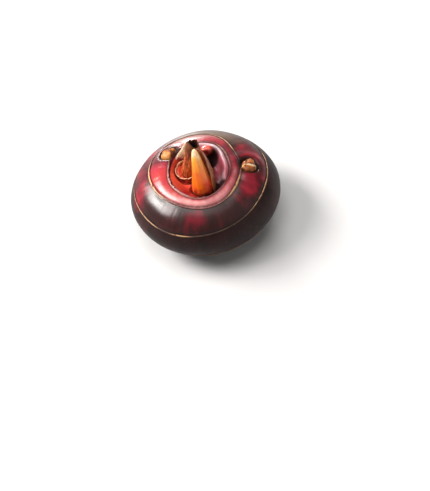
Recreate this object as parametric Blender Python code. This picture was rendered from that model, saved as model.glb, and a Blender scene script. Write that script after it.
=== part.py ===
"""A water chestnut as dug and washed: a squat corm ringed by the scars of its scale leaves,
with broken shoots standing in its crown, two side buds and a withered stolon scar beneath.
Metres, +Z up. The origin is the middle of the flat spot that the corm stands on."""

import math

import bmesh
import bpy
from mathutils import Matrix, Vector

MM = 0.001
DEGREE = math.pi / 180

# The corm: a squashed ball, cut flat where it stands
CORM_RADIUS = 20.0 * MM
CORM_HALF_HEIGHT = 11.5 * MM
DEPTH_RATIO = 0.975
FLAT_OUTER_RADIUS = 8.8 * MM
FLAT_INNER_RADIUS = 5.8 * MM
FLAT_LATITUDE = -math.acos(FLAT_OUTER_RADIUS / CORM_RADIUS)
EQUATOR_HEIGHT = -CORM_HALF_HEIGHT * math.sin(FLAT_LATITUDE)
BASE_HOLLOW_DEPTH = 2.4 * MM

# The leaf scars that ring it from the crown down, none of them level: the latitude of each
# in degrees, then how it sways with the cosine and sine of the angle and of twice the angle
RIM_SCAR = (63.1, 1.7, 0.2, 2.6, -0.3)
UPPER_SCAR = (49.5, 6.5, -4.0, 3.3, 2.6)
MIDDLE_SCAR = (22.5, 4.5, -3.0, 2.6, -1.1)
LOWER_SCAR = (-23.0, 1.5, 1.0, -1.0, 0.8)
FLAT_EDGE = (FLAT_LATITUDE / DEGREE, 0.0, 0.0, 0.0, 0.0)
SCAR_WANDER = 0.35
SCAR_HALF_WIDTH = 0.9 * DEGREE
SCAR_RIDGE = 0.24 * MM
SCAR_STEP = -0.06 * MM
BAND_SWELL = 0.3 * MM
BAND_STEPS = (4, 6, 7, 6)

# The crown inside the innermost scar; a share of 1 is its rim
CROWN_CENTRE = (-0.55 * MM, 0.26 * MM)
CROWN_SHARES = (0.13, 0.27, 0.4, 0.52, 0.62, 0.69, 0.76, 0.82, 0.88, 0.93, 0.98)
FLOOR_HEIGHT = EQUATOR_HEIGHT + 7.0 * MM
FLOOR_SHARE = 0.5
LIP_DROP = 0.42 * MM
LOBE_SHARE_SIDE = 0.82
LOBE_SHARE_BACK = 0.88
LOBE_HALF_WIDTH = 0.16
LOBE_MIDDLE = 22 * DEGREE
LOBE_HEIGHT = 1.2 * MM
RECESS_CENTRE = (3.3 * MM, 4.3 * MM)
RECESS_RADIUS = 2.4 * MM
RECESS_DEPTH = 3.0 * MM

# What stands in the corm, from root to tip: rows of x, y, z, half width and half depth in mm
SHOOT_ROWS = (
    (-0.4, -4.6, 14.6, 2.3, 1.6),
    (-0.4, -4.5, 16.6, 2.9, 2.0),
    (-0.45, -4.1, 18.4, 2.9, 2.1),
    (-0.5, -3.4, 20.4, 2.4, 1.85),
    (-0.55, -2.4, 23.0, 1.85, 1.5),
    (-0.65, -1.5, 26.0, 1.35, 1.15),
    (-0.75, -0.95, 28.4, 0.8, 0.7),
    (-0.8, -0.75, 29.5, 0.35, 0.3),
)
SHEATH_ROWS = (
    (-3.8, 1.8, 14.8, 1.5, 1.5),
    (-3.75, 1.8, 17.0, 1.75, 1.7),
    (-3.4, 1.85, 18.9, 1.9, 1.8),
    (-2.5, 2.15, 20.8, 2.0, 1.85),
    (-1.8, 2.5, 22.6, 2.0, 1.8),
    (-1.35, 3.0, 24.8, 1.95, 1.8),
    (-0.95, 3.6, 27.0, 2.05, 1.9),
)
SHEATH_SOLID_ROWS = 4
CUP_ROWS = (
    (-3.6, 2.0, 15.6, 3.0, 3.0),
    (-3.6, 2.0, 17.4, 3.15, 3.15),
    (-3.6, 2.0, 19.1, 3.3, 3.3),
)
RED_BUD_ROWS = (
    (2.9, 7.6, 16.6, 0.8, 0.7),
    (2.85, 7.4, 17.8, 1.2, 1.0),
    (2.75, 7.1, 19.2, 1.5, 1.2),
    (2.55, 6.5, 20.5, 1.25, 1.05),
    (2.35, 6.0, 21.3, 0.6, 0.5),
)
TEAR_HEIGHT = 0.33 * MM
SHEATH_WALL = 0.65 * MM

# The two side buds share one shape, drawn about the skin where each one stands: its place,
# the way its beak points, its size, and its width for its length
SIDE_BUD_ROWS = (
    (0.0, 0.0, -1.7, 0.9, 0.8),
    (0.0, 0.0, -1.2, 1.6, 1.3),
    (0.0, 0.0, -0.2, 2.0, 1.7),
    (0.1, 0.0, 0.4, 1.8, 1.5),
    (0.4, 0.0, 0.9, 1.2, 0.9),
    (0.8, 0.0, 1.3, 0.45, 0.35),
)
SIDE_BUDS = {
    "side_bud_left": ((-7.5 * MM, 7.6 * MM), 20 * DEGREE, 1.0, 0.8),
    "side_bud_right": ((12.8 * MM, -1.1 * MM), 70 * DEGREE, 1.15, 1.05),
}
SIDE_BUD_SINK = 0.25 * MM

# The scale leaves are blades that curl round an axis: rows of x, y, z, radius in mm, and how
# much of its spread the blade covers there
SCALE_THICKNESS = 0.65 * MM
SCALE_POINTS = 8
CLASPING_SPREAD = (-25 * DEGREE, 110 * DEGREE)
CLASPING_REACH = (1.0, 1.0, 1.0, 0.9, 0.65, 0.25)
CLASPING_GAP = 0.35 * MM
TORN_SCALE_SPREAD = (84 * DEGREE, 146 * DEGREE)
TORN_SCALE_ROWS = (
    (-3.6, 2.0, 16.0, 3.7, 0.9),
    (-3.6, 2.0, 18.2, 3.85, 1.0),
    (-3.5, 2.1, 20.4, 3.7, 1.0),
    (-3.2, 2.5, 22.4, 3.2, 0.8),
    (-2.8, 2.9, 24.0, 2.7, 0.55),
    (-2.5, 3.2, 25.2, 2.4, 0.2),
)

# The withered end of the stolon in the base, its stub and the stubs of three roots
STOLON_SCAR_ROWS = (
    (0.1, 0.1, 1.4, 2.3, 2.1),
    (0.0, 0.1, 1.8, 3.1, 2.9),
    (0.1, 0.0, 3.0, 3.2, 3.1),
    (0.0, 0.0, 4.2, 2.4, 2.3),
)
STOLON_STUB_ROWS = (
    (1.1, -0.8, 0.5, 0.9, 0.8),
    (1.0, -0.7, 1.3, 1.0, 0.95),
    (0.9, -0.6, 2.6, 1.1, 1.0),
)
ROOT_STUB_PLACES = ((-1.7, 0.9), (-0.9, -1.7), (0.4, 1.9))
ROOT_STUB_SPAN = (0.6, 2.6)
ROOT_STUB_RADIUS = 0.45

# Air between a piece and the hole that it stands in; a side bud's pit gapes wider
CLEARANCE = 0.3 * MM
PIT_CLEARANCE = 0.4 * MM

CORM_SIDES = 60
SHOOT_SIDES = 16


def smooth(value, low, high):
    """0 at low and 1 at high, with soft ends."""
    t = min(1.0, max(0.0, (value - low) / (high - low)))
    return t * t * (3 - 2 * t)


def hump(value, half_width):
    """1 in the middle and 0 at half_width to either side."""
    if abs(value) >= half_width:
        return 0.0
    return 0.5 + 0.5 * math.cos(math.pi * value / half_width)


def surface_material(name, colour, roughness):
    """A Principled BSDF of one colour."""
    material = bpy.data.materials.new(name)
    material.use_nodes = True
    shader = material.node_tree.nodes["Principled BSDF"]
    shader.inputs["Base Color"].default_value = (*colour, 1)
    shader.inputs["Roughness"].default_value = roughness
    shader.inputs["Metallic"].default_value = 0
    material.diffuse_color = (*colour, 1)
    return material


def add_mesh(name, builder, material, sharp_angle=50):
    """An object from a bmesh, shaded smooth except at its sharp edges."""
    bmesh.ops.recalc_face_normals(builder, faces=builder.faces)
    mesh = bpy.data.meshes.new(name)
    builder.to_mesh(mesh)
    builder.free()
    mesh.shade_smooth()
    mesh.set_sharp_from_angle(angle=math.radians(sharp_angle))
    if material:
        mesh.materials.append(material)
    thing = bpy.data.objects.new(name, mesh)
    bpy.context.scene.collection.objects.link(thing)
    return thing


def bridge(builder, lower, upper):
    """Faces between two rings of vertices."""
    for i, j in zip(range(-1, len(lower)), range(len(lower))):
        builder.faces.new((lower[i], lower[j], upper[j], upper[i]))


def loft(name, loops, material=None, closed=False):
    """A solid through loops of points. It is capped at both ends, or with closed its last
    loop is joined back to its first, which makes a ring."""
    builder = bmesh.new()
    rings = [[builder.verts.new(point) for point in loop] for loop in loops]
    for lower, upper in zip(rings, rings[1:]):
        bridge(builder, lower, upper)
    if closed:
        bridge(builder, rings[-1], rings[0])
    else:
        builder.faces.new(rings[0])
        builder.faces.new(rings[-1])
    return add_mesh(name, builder, material)


def oval(row, grow=0.0, lift=0.0, tear=0.0):
    """A ring of points from a row of x, y, z, half width and half depth in mm. grow widens
    it, lift raises it, and tear makes it ragged by about that height."""
    x, y, z, half_width, half_depth = (value * MM for value in row)
    points = []
    for i in range(SHOOT_SIDES):
        angle = 2 * math.pi * i / SHOOT_SIDES
        ragged = tear * (math.sin(3 * angle + 0.4) + 0.6 * math.sin(7 * angle + 1.3))
        points.append(
            Vector(
                (
                    x + (half_width + grow) * math.cos(angle),
                    y + (half_depth + grow) * math.sin(angle),
                    z + lift + ragged,
                )
            )
        )
    return points


def ovals(rows, grow=0.0):
    """Rings for every row; grow widens them all and moves the end ones outward."""
    last = len(rows) - 1
    lifts = [-grow if i == 0 else grow if i == last else 0.0 for i in range(len(rows))]
    return [oval(row, grow, lift) for row, lift in zip(rows, lifts)]


def outline_wave(angle):
    """How far the plan departs from round; even waves keep it centred on the axis."""
    return 0.011 * math.cos(2 * angle - 0.5) + 0.005 * math.cos(4 * angle + 0.9)


def scar_latitude(scar, angle):
    mean, cos_1, sin_1, cos_2, sin_2 = scar
    sway = cos_1 * math.cos(angle) + sin_1 * math.sin(angle)
    sway += cos_2 * math.cos(2 * angle) + sin_2 * math.sin(2 * angle)
    wander = 0.0 if scar is FLAT_EDGE else SCAR_WANDER * math.sin(5 * angle + mean)
    return (mean + sway + wander) * DEGREE


def body_point(latitude, angle, lift):
    """A point of the outer skin, lifted along the ellipse's own normal."""
    cos_at, sin_at = math.cos(latitude), math.sin(latitude)
    across, up = CORM_HALF_HEIGHT * cos_at, CORM_RADIUS * sin_at
    length = math.hypot(across, up)
    firm = smooth(latitude, -60 * DEGREE, -35 * DEGREE)
    radius = CORM_RADIUS * cos_at * (1 + outline_wave(angle) * firm) + lift * across / length
    height = EQUATOR_HEIGHT + CORM_HALF_HEIGHT * sin_at + lift * up / length
    x = radius * math.cos(angle)
    y = radius * DEPTH_RATIO * math.sin(angle)
    return Vector((x, y, max(height, 0.0)))


def band_rows(top, bottom, steps, angles):
    """One swollen band: the ridge of the scar above it, then the skin down to just over the
    scar below."""
    rows = [[body_point(scar_latitude(top, angle), angle, SCAR_RIDGE) for angle in angles]]
    for i in range(steps + 1):
        share = i / steps
        lift = BAND_SWELL * math.sin(math.pi * share) + SCAR_STEP * (1 - share) ** 2
        row = []
        for angle in angles:
            first = scar_latitude(top, angle) - SCAR_HALF_WIDTH
            last = scar_latitude(bottom, angle) + SCAR_HALF_WIDTH
            row.append(body_point(first + (last - first) * share, angle, lift))
        rows.append(row)
    return rows


def crown_height(share, angle, x, y):
    """Height inside the rim: a dished floor, the lobe that curls round its right and back,
    and the recess behind the shoots."""
    rim = body_point(scar_latitude(RIM_SCAR, angle), angle, 0.0).z - LIP_DROP
    height = FLOOR_HEIGHT + (rim - FLOOR_HEIGHT) * smooth(share, FLOOR_SHARE, 1.0)
    turn = (angle - LOBE_MIDDLE + math.pi) % (2 * math.pi) - math.pi
    present = 1 - smooth(abs(turn), 62 * DEGREE, 100 * DEGREE)
    back = smooth(math.sin(angle), 0.2, 0.9)
    crest = LOBE_SHARE_SIDE + (LOBE_SHARE_BACK - LOBE_SHARE_SIDE) * back
    height += present * LOBE_HEIGHT * hump(share - crest, LOBE_HALF_WIDTH)
    away = math.hypot(x - RECESS_CENTRE[0], y - RECESS_CENTRE[1])
    return height - RECESS_DEPTH * hump(away, RECESS_RADIUS)


def crown_point(share, angle):
    rim = body_point(scar_latitude(RIM_SCAR, angle), angle, 0.0)
    x = CROWN_CENTRE[0] + share * (rim.x - CROWN_CENTRE[0])
    y = CROWN_CENTRE[1] + share * (rim.y - CROWN_CENTRE[1])
    return Vector((x, y, crown_height(share, angle, x, y)))


def base_rows(angles):
    """The flat ring that the corm stands on and the hollow inside it."""
    profile = (
        (FLAT_OUTER_RADIUS - 0.4 * MM, 0.0),
        (FLAT_INNER_RADIUS, 0.0),
        (FLAT_INNER_RADIUS - 0.7 * MM, 0.2 * BASE_HOLLOW_DEPTH),
        (FLAT_INNER_RADIUS - 1.8 * MM, 0.75 * BASE_HOLLOW_DEPTH),
        (FLAT_INNER_RADIUS - 3.2 * MM, BASE_HOLLOW_DEPTH),
    )
    rows = []
    for radius, height in profile:
        depth = radius * DEPTH_RATIO
        rows.append([Vector((radius * math.cos(a), depth * math.sin(a), height)) for a in angles])
    return rows


def build_corm(material):
    """The corm's skin, ring after ring from the crown's middle to the base's middle."""
    angles = [2 * math.pi * i / CORM_SIDES for i in range(CORM_SIDES)]
    rows = [[crown_point(share, angle) for angle in angles] for share in CROWN_SHARES]
    scars = (RIM_SCAR, UPPER_SCAR, MIDDLE_SCAR, LOWER_SCAR, FLAT_EDGE)
    for top, bottom, steps in zip(scars, scars[1:], BAND_STEPS):
        rows += band_rows(top, bottom, steps, angles)
    rows += base_rows(angles)

    builder = bmesh.new()
    rings = [[builder.verts.new(point) for point in row] for row in rows]
    for upper, lower in zip(rings, rings[1:]):
        bridge(builder, upper, lower)
    top = builder.verts.new((*CROWN_CENTRE, FLOOR_HEIGHT))
    bottom = builder.verts.new((0, 0, BASE_HOLLOW_DEPTH))
    for i, j in zip(range(-1, CORM_SIDES), range(CORM_SIDES)):
        builder.faces.new((top, rings[0][i], rings[0][j]))
        builder.faces.new((bottom, rings[-1][j], rings[-1][i]))
    return add_mesh("corm", builder, material)


def build_front_shoot(material):
    """The pale pointed shoot at the front of the crown."""
    return loft("front_shoot", ovals(SHOOT_ROWS), material)


def build_rear_sheath(material):
    """The broken shoot behind it: solid below, a hollow sheath with a torn mouth above."""
    inside = SHEATH_ROWS[: SHEATH_SOLID_ROWS - 1 : -1]
    outer = ovals(SHEATH_ROWS[:-1]) + [oval(SHEATH_ROWS[-1], tear=TEAR_HEIGHT)]
    inner = [oval(inside[0], -SHEATH_WALL, tear=TEAR_HEIGHT)]
    inner += [oval(row, -SHEATH_WALL) for row in inside[1:]]
    return loft("rear_sheath", outer + inner, material)


def build_sheath_cup(material):
    """The low torn sheath round the foot of the broken shoot."""
    outer = ovals(CUP_ROWS[:-1]) + [oval(CUP_ROWS[-1], tear=TEAR_HEIGHT)]
    inner = [oval(CUP_ROWS[-1], -SHEATH_WALL, tear=TEAR_HEIGHT)]
    inner += [oval(row, -SHEATH_WALL) for row in CUP_ROWS[-2::-1]]
    return loft("sheath_cup", outer + inner, material, closed=True)


def build_red_bud(material):
    """The glossy bud that leans out over the recess."""
    return loft("red_bud", ovals(RED_BUD_ROWS), material)


def blade(name, rows, spread, material=None, grow=0.0):
    """A scale leaf from rows of x, y, z, inner radii and share of the spread, in metres.
    grow swells it all round, for the slot it stands in."""
    middle, half_spread = (spread[0] + spread[1]) / 2, (spread[1] - spread[0]) / 2
    last = len(rows) - 1
    loops = []
    for i, (x, y, z, radius_x, radius_y, reach) in enumerate(rows):
        z += -grow if i == 0 else grow if i == last else 0.0
        half = half_spread * reach + grow / radius_x
        turns = [2 * k / (SCALE_POINTS - 1) - 1 for k in range(SCALE_POINTS)]
        loop = []
        for offset, order in ((-grow, turns), (SCALE_THICKNESS + grow, turns[::-1])):
            for turn in order:
                angle = middle + half * turn
                across = (radius_x + offset) * math.cos(angle)
                deep = (radius_y + offset) * math.sin(angle)
                loop.append(Vector((x + across, y + deep, z)))
        loops.append(loop)
    return loft(name, loops, material)


def clasping_rows():
    """The clasping scale follows the front shoot, a gap away from it."""
    rows = []
    for row, reach in zip(SHOOT_ROWS[1:-1], CLASPING_REACH):
        x, y, z, half_width, half_depth = (value * MM for value in row)
        rows.append((x, y, z, half_width + CLASPING_GAP, half_depth + CLASPING_GAP, reach))
    return rows


def torn_scale_rows():
    return [
        (x * MM, y * MM, z * MM, radius * MM, radius * MM, reach)
        for x, y, z, radius, reach in TORN_SCALE_ROWS
    ]


def build_shoot_scale(material):
    """The brown scale that clasps the back and right of the front shoot."""
    return blade("shoot_scale", clasping_rows(), CLASPING_SPREAD, material)


def build_torn_scale(material):
    """The pale torn scale behind the broken shoot."""
    return blade("torn_scale", torn_scale_rows(), TORN_SCALE_SPREAD, material)


def skin_height(x, y):
    away = math.hypot(x, y / DEPTH_RATIO) / CORM_RADIUS
    return EQUATOR_HEIGHT + CORM_HALF_HEIGHT * math.sqrt(1 - away**2)


def side_bud_matrix(place, beak):
    """Stands a side bud square to the skin with its beak turned that way."""
    x, y = place
    point = Vector((x, y, skin_height(x, y)))
    steepness = (CORM_RADIUS / CORM_HALF_HEIGHT) ** 2
    normal = Vector((x, y / DEPTH_RATIO**2, (point.z - EQUATOR_HEIGHT) * steepness)).normalized()
    spot = Matrix.Translation(point - normal * SIDE_BUD_SINK)
    tilt = Vector((0, 0, 1)).rotation_difference(normal).to_matrix().to_4x4()
    return spot @ tilt @ Matrix.Rotation(beak, 4, "Z")


def side_bud_ovals(size, width, grow=0.0):
    rows = []
    for row in SIDE_BUD_ROWS:
        x, y, z, half_length, half_width = (size * value for value in row)
        rows.append((x, y, z, half_length, half_width * width))
    return ovals(rows, grow)


def build_side_buds(material):
    buds = []
    for name, (place, beak, size, width) in SIDE_BUDS.items():
        bud = loft(name, side_bud_ovals(size, width), material)
        bud.matrix_world = side_bud_matrix(place, beak)
        buds.append(bud)
    return buds


def add_boolean(thing, other, operation):
    """Joins or cuts with a guide body, which is itself never drawn."""
    change = thing.modifiers.new(other.name, "BOOLEAN")
    change.operation = operation
    change.solver = "EXACT"
    change.object = other
    other.hide_render = True
    other.display_type = "WIRE"


def build_stolon_scar(material):
    """The withered disc in the base, with the stubs that stand out of it."""
    scar = loft("stolon_scar", ovals(STOLON_SCAR_ROWS), material)
    add_boolean(scar, loft("stolon_stub", ovals(STOLON_STUB_ROWS)), "UNION")
    low, high = ROOT_STUB_SPAN
    radius = ROOT_STUB_RADIUS
    for i, (x, y) in enumerate(ROOT_STUB_PLACES):
        rows = ((1.1 * x, 1.1 * y, low, 0.8 * radius, radius), (x, y, high, radius, radius))
        add_boolean(scar, loft(f"root_stub_{i + 1}", ovals(rows)), "UNION")
    return scar


def cut_sockets(corm):
    """Plain holes in the corm, a little larger than what stands in each of them."""
    standing = {
        "front_shoot": SHOOT_ROWS[:4],
        "rear_sheath": SHEATH_ROWS[:3],
        "sheath_cup": CUP_ROWS,
        "red_bud": RED_BUD_ROWS,
        "stolon_scar": STOLON_SCAR_ROWS,
    }
    sockets = [loft(f"{name}_socket", ovals(rows, CLEARANCE)) for name, rows in standing.items()]
    scales = {
        "shoot_scale": (clasping_rows()[:4], CLASPING_SPREAD),
        "torn_scale": (torn_scale_rows()[:4], TORN_SCALE_SPREAD),
    }
    for name, (rows, spread) in scales.items():
        sockets.append(blade(f"{name}_socket", rows, spread, grow=CLEARANCE))
    for name, (place, beak, size, width) in SIDE_BUDS.items():
        pit = loft(f"{name}_pit", side_bud_ovals(size, width, PIT_CLEARANCE))
        pit.matrix_world = side_bud_matrix(place, beak)
        sockets.append(pit)
    for socket in sockets:
        add_boolean(corm, socket, "DIFFERENCE")


def main():
    for thing in list(bpy.data.objects):
        bpy.data.objects.remove(thing)
    skin = surface_material("corm_skin", (0.15, 0.012, 0.014), 0.28)
    amber = surface_material("shoot_amber", (0.80, 0.30, 0.04), 0.30)
    brown = surface_material("sheath_brown", (0.11, 0.035, 0.018), 0.45)
    cream = surface_material("torn_cream", (0.72, 0.50, 0.26), 0.50)
    red = surface_material("bud_red", (0.38, 0.03, 0.02), 0.25)
    tan = surface_material("side_bud_tan", (0.42, 0.20, 0.07), 0.45)
    withered = surface_material("scar_withered", (0.09, 0.045, 0.022), 0.80)

    corm = build_corm(skin)
    build_front_shoot(amber)
    build_rear_sheath(brown)
    build_sheath_cup(brown)
    build_shoot_scale(brown)
    build_torn_scale(cream)
    build_red_bud(red)
    build_side_buds(tan)
    build_stolon_scar(withered)
    cut_sockets(corm)

    whole = bpy.data.objects.new("water_chestnut", None)
    bpy.context.scene.collection.objects.link(whole)
    for thing in bpy.context.scene.collection.objects:
        if thing is not whole:
            thing.parent = whole


main()
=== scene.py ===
# %% [markdown]
# # A water chestnut
# A water chestnut is a corm, the swollen foot of a rush-like plant. Its skin is glossy, from
# crimson to nearly black, and rings of papery scale leaves leave thin golden scars round it.
# This lesson dresses a plain model of one: first its frame is loaded, then each grown piece
# is modelled again, finer, in the same place, and at the end come the light and the camera.

# %% Load the frame
import math

import bpy
from mathutils import Matrix, Vector, noise


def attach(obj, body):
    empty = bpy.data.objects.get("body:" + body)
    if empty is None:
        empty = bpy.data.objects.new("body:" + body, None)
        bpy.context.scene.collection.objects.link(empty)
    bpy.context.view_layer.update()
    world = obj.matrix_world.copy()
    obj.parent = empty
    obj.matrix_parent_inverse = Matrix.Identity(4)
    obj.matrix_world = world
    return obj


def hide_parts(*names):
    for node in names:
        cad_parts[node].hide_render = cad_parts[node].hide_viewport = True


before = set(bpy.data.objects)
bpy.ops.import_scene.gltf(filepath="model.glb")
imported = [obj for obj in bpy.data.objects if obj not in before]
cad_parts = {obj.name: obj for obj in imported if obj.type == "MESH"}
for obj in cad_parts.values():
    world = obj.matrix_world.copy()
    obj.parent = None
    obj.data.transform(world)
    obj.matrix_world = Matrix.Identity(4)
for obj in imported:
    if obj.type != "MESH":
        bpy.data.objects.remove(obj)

MM = 0.001
DEGREE = math.pi / 180
BODY = "root"

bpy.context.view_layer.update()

# %% [markdown]
# ## Working by hand, in code
# Each piece is started from a primitive and worked on in edit mode, as one would by hand. A
# mesh could also be written out as a list of points, but such a list teaches nothing.
# These short helpers hold the moves that every piece needs: let go of what is selected, pick
# one piece, go in and out of edit mode, set a finished piece down with its place kept in its
# mesh, and paint values on its points for its material to read.

# %% Hand moves
def let_go():
    if bpy.context.object and bpy.context.object.mode != "OBJECT":
        bpy.ops.object.mode_set(mode="OBJECT")
    bpy.ops.object.select_all(action="DESELECT")


def pick(piece):
    """Selects this piece alone, ready to be worked on."""
    let_go()
    piece.select_set(True)
    bpy.context.view_layer.objects.active = piece


def start(name):
    """Names the primitive that was just added and opens it for editing."""
    piece = bpy.context.object
    piece.name = name
    piece.data.name = name
    bpy.ops.object.mode_set(mode="EDIT")
    bpy.ops.mesh.select_all(action="SELECT")
    return piece


def close_up(merge=0.002 * MM):
    """Merges doubled points, turns the faces outward and leaves edit mode."""
    bpy.ops.mesh.select_all(action="SELECT")
    bpy.ops.mesh.remove_doubles(threshold=merge)
    bpy.ops.mesh.normals_make_consistent(inside=False)
    bpy.ops.object.mode_set(mode="OBJECT")


def set_down(piece, smooth_angle=60):
    """Keeps the piece's place in its mesh and shades it smooth."""
    pick(piece)
    bpy.ops.object.transform_apply(location=True, rotation=True, scale=True)
    bpy.ops.object.shade_smooth_by_angle(angle=smooth_angle * DEGREE)
    return piece


def apply_modifier(piece, kind, **settings):
    """Adds one modifier with these settings and applies it."""
    pick(piece)
    modifier = piece.modifiers.new(kind.lower(), kind)
    for name, value in settings.items():
        setattr(modifier, name, value)
    bpy.ops.object.modifier_apply(modifier=modifier.name)


def refine(piece, levels):
    apply_modifier(piece, "SUBSURF", levels=levels, render_levels=levels)


def join(pieces, name):
    """Joins pieces into the first of them."""
    let_go()
    for piece in pieces:
        piece.select_set(True)
    bpy.context.view_layer.objects.active = pieces[0]
    bpy.ops.object.join()
    pieces[0].name = name
    pieces[0].data.name = name
    return pieces[0]


def paint(piece, name, values):
    """Paints one value on each point of the piece."""
    piece.data.attributes.new(name, "FLOAT", "POINT").data.foreach_set("value", values)


def report(piece):
    mesh = piece.data
    triangles = sum(len(face.vertices) - 2 for face in mesh.polygons)
    print(f"{piece.name}: {triangles} triangles")


# %% [markdown]
# ## Soft steps and chance
# A grown thing has no hard corners, so its shape is mixed from soft steps and humps. Its
# little accidents come from a noise field, which gives the same value at the same place each
# time, so nothing here changes from one run to the next.

# %% Soft steps
def smooth(value, low, high):
    """0 at low and 1 at high, with soft ends."""
    t = min(1.0, max(0.0, (value - low) / (high - low)))
    return t * t * (3 - 2 * t)


def hump(value, half_width):
    """1 in the middle and 0 at half_width to either side."""
    if abs(value) >= half_width:
        return 0.0
    return 0.5 + 0.5 * math.cos(math.pi * value / half_width)


def broad_hump(value, half_width):
    """A hump with a broader top."""
    return hump(value, half_width) ** 0.6


def turn_between(angle, middle):
    """The signed turn from middle to angle, at most half a round either way."""
    return (angle - middle + math.pi) % (2 * math.pi) - math.pi


def near_turn(angle, middle, full_to, gone_at):
    """1 while angle is within full_to of middle, and 0 from gone_at on."""
    return 1 - smooth(abs(turn_between(angle, middle)), full_to, gone_at)


def level_way(angle):
    """The level direction at that angle."""
    return Vector((math.cos(angle), math.sin(angle), 0))


def chance(x, y=0.0, z=0.0, seed=0.0):
    """A smooth random value from -1 to 1."""
    return noise.noise(Vector((x + 17.3 * seed, y - 9.1 * seed, z + 5.7 * seed)))


def chance_round(angle, detail, seed=0.0):
    """A smooth random value that closes on itself round a circle."""
    return chance(detail * math.cos(angle), detail * math.sin(angle), 0.0, seed)


# %% [markdown]
# ## The corm's own measures
# The corm is a squashed ball with a flat spot. Four scars ring it, and none is level, so each
# is written as a latitude that sways with the angle round the corm. The same numbers made the
# plain model, so the fine skin lies where the plain one did.

# %% Measures of the corm
CORM_RADIUS = 20.0 * MM
CORM_HALF_HEIGHT = 11.5 * MM
DEPTH_RATIO = 0.975
FLAT_OUTER_RADIUS = 8.8 * MM
FLAT_INNER_RADIUS = 5.8 * MM
FLAT_LATITUDE = -math.acos(FLAT_OUTER_RADIUS / CORM_RADIUS)
EQUATOR_HEIGHT = -CORM_HALF_HEIGHT * math.sin(FLAT_LATITUDE)
BASE_HOLLOW_DEPTH = 2.4 * MM
BASE_SLOPE_WIDTH = 3.2 * MM
BASE_UNEVENNESS = 0.12 * MM
OUTLINE_OVAL = 0.011
OUTLINE_SQUARE = 0.005

RIM_SCAR = (63.1, 1.7, 0.2, 2.6, -0.3)
UPPER_SCAR = (49.5, 6.5, -4.0, 3.3, 2.6)
MIDDLE_SCAR = (22.5, 4.5, -3.0, 2.6, -1.1)
LOWER_SCAR = (-23.0, 1.5, 1.0, -1.0, 0.8)
FLAT_EDGE = (FLAT_LATITUDE / DEGREE, 0.0, 0.0, 0.0, 0.0)
SCARS = (RIM_SCAR, UPPER_SCAR, MIDDLE_SCAR, LOWER_SCAR, FLAT_EDGE)
SCAR_WANDER = 0.35
BAND_SWELL = 0.3 * MM
LAST_BAND = 3

CROWN_CENTRE = (-0.55 * MM, 0.26 * MM)
FLOOR_HEIGHT = EQUATOR_HEIGHT + 7.0 * MM
FLOOR_SHARE = 0.5
LIP_DROP = 0.42 * MM
LIP_SHARE = 0.955
GROOVE_MIDDLE = -74 * DEGREE
GROOVE_HALF_TURN = 48 * DEGREE
GROOVE_SHARE = 0.84
LOBE_SHARE_SIDE = 0.82
LOBE_SHARE_BACK = 0.88
LOBE_HALF_WIDTH = 0.16
LOBE_MIDDLE = 22 * DEGREE
LOBE_HEIGHT = 1.2 * MM
LOBE_FULL_TURN = 62 * DEGREE
LOBE_END_TURN = 100 * DEGREE
RECESS_CENTRE = (3.3 * MM, 4.3 * MM)
RECESS_RADIUS = 2.4 * MM
RECESS_DEPTH = 3.0 * MM
CROWN_UNEVENNESS = 0.10 * MM
CROWN_UNEVEN_SIZE = 1.6 * MM


def scar_latitude(scar, angle):
    """The latitude of a scar there: its mean, and how it sways once and twice round."""
    mean, cos_1, sin_1, cos_2, sin_2 = scar
    sway = cos_1 * math.cos(angle) + sin_1 * math.sin(angle)
    sway += cos_2 * math.cos(2 * angle) + sin_2 * math.sin(2 * angle)
    wander = 0.0 if scar is FLAT_EDGE else SCAR_WANDER * math.sin(5 * angle + mean)
    return (mean + sway + wander) * DEGREE


def outline_wave(angle):
    """How far the outline leaves the ellipse there, as a share of its radius."""
    return OUTLINE_OVAL * math.cos(2 * angle - 0.5) + OUTLINE_SQUARE * math.cos(4 * angle + 0.9)


def body_frame(latitude, angle):
    """The point of the smooth body there, and the way the body faces."""
    cos_at, sin_at = math.cos(latitude), math.sin(latitude)
    across, up = CORM_HALF_HEIGHT * cos_at, CORM_RADIUS * sin_at
    length = math.hypot(across, up)
    firm = smooth(latitude, -60 * DEGREE, -35 * DEGREE)
    radius = CORM_RADIUS * cos_at * (1 + outline_wave(angle) * firm)
    height = EQUATOR_HEIGHT + CORM_HALF_HEIGHT * sin_at
    point = Vector((radius * math.cos(angle), radius * DEPTH_RATIO * math.sin(angle), height))
    facing = Vector((across * math.cos(angle), across * DEPTH_RATIO * math.sin(angle), up))
    return point, facing / length


def skin_run(latitude):
    """How far it is along the skin for each radian of latitude there."""
    return math.hypot(CORM_RADIUS * math.sin(latitude), CORM_HALF_HEIGHT * math.cos(latitude))


print("the equator is", round(EQUATOR_HEIGHT / MM, 2), "mm above the ground")

# %% [markdown]
# ## Side buds and their pits
# Two buds break through the skin. Each sits in a small pit with a swollen edge, so the skin
# has to know where they are before it is shaped. A bud is written as its place, the way its
# beak points, its size and its width.

# %% Places of the side buds
SIDE_BUDS = {
    "side_bud_left": ((-7.6 * MM, 7.7 * MM), 20 * DEGREE, 1.16, 0.95),
    "side_bud_right": ((12.8 * MM, -1.1 * MM), 70 * DEGREE, 1.15, 1.05),
}
SIDE_BUD_SINK = 0.25 * MM
PIT_RADIUS = 2.35 * MM
PIT_DEPTH = 1.1 * MM
PIT_SWELL = 0.28 * MM
PIT_REACH = 4 * MM


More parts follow.
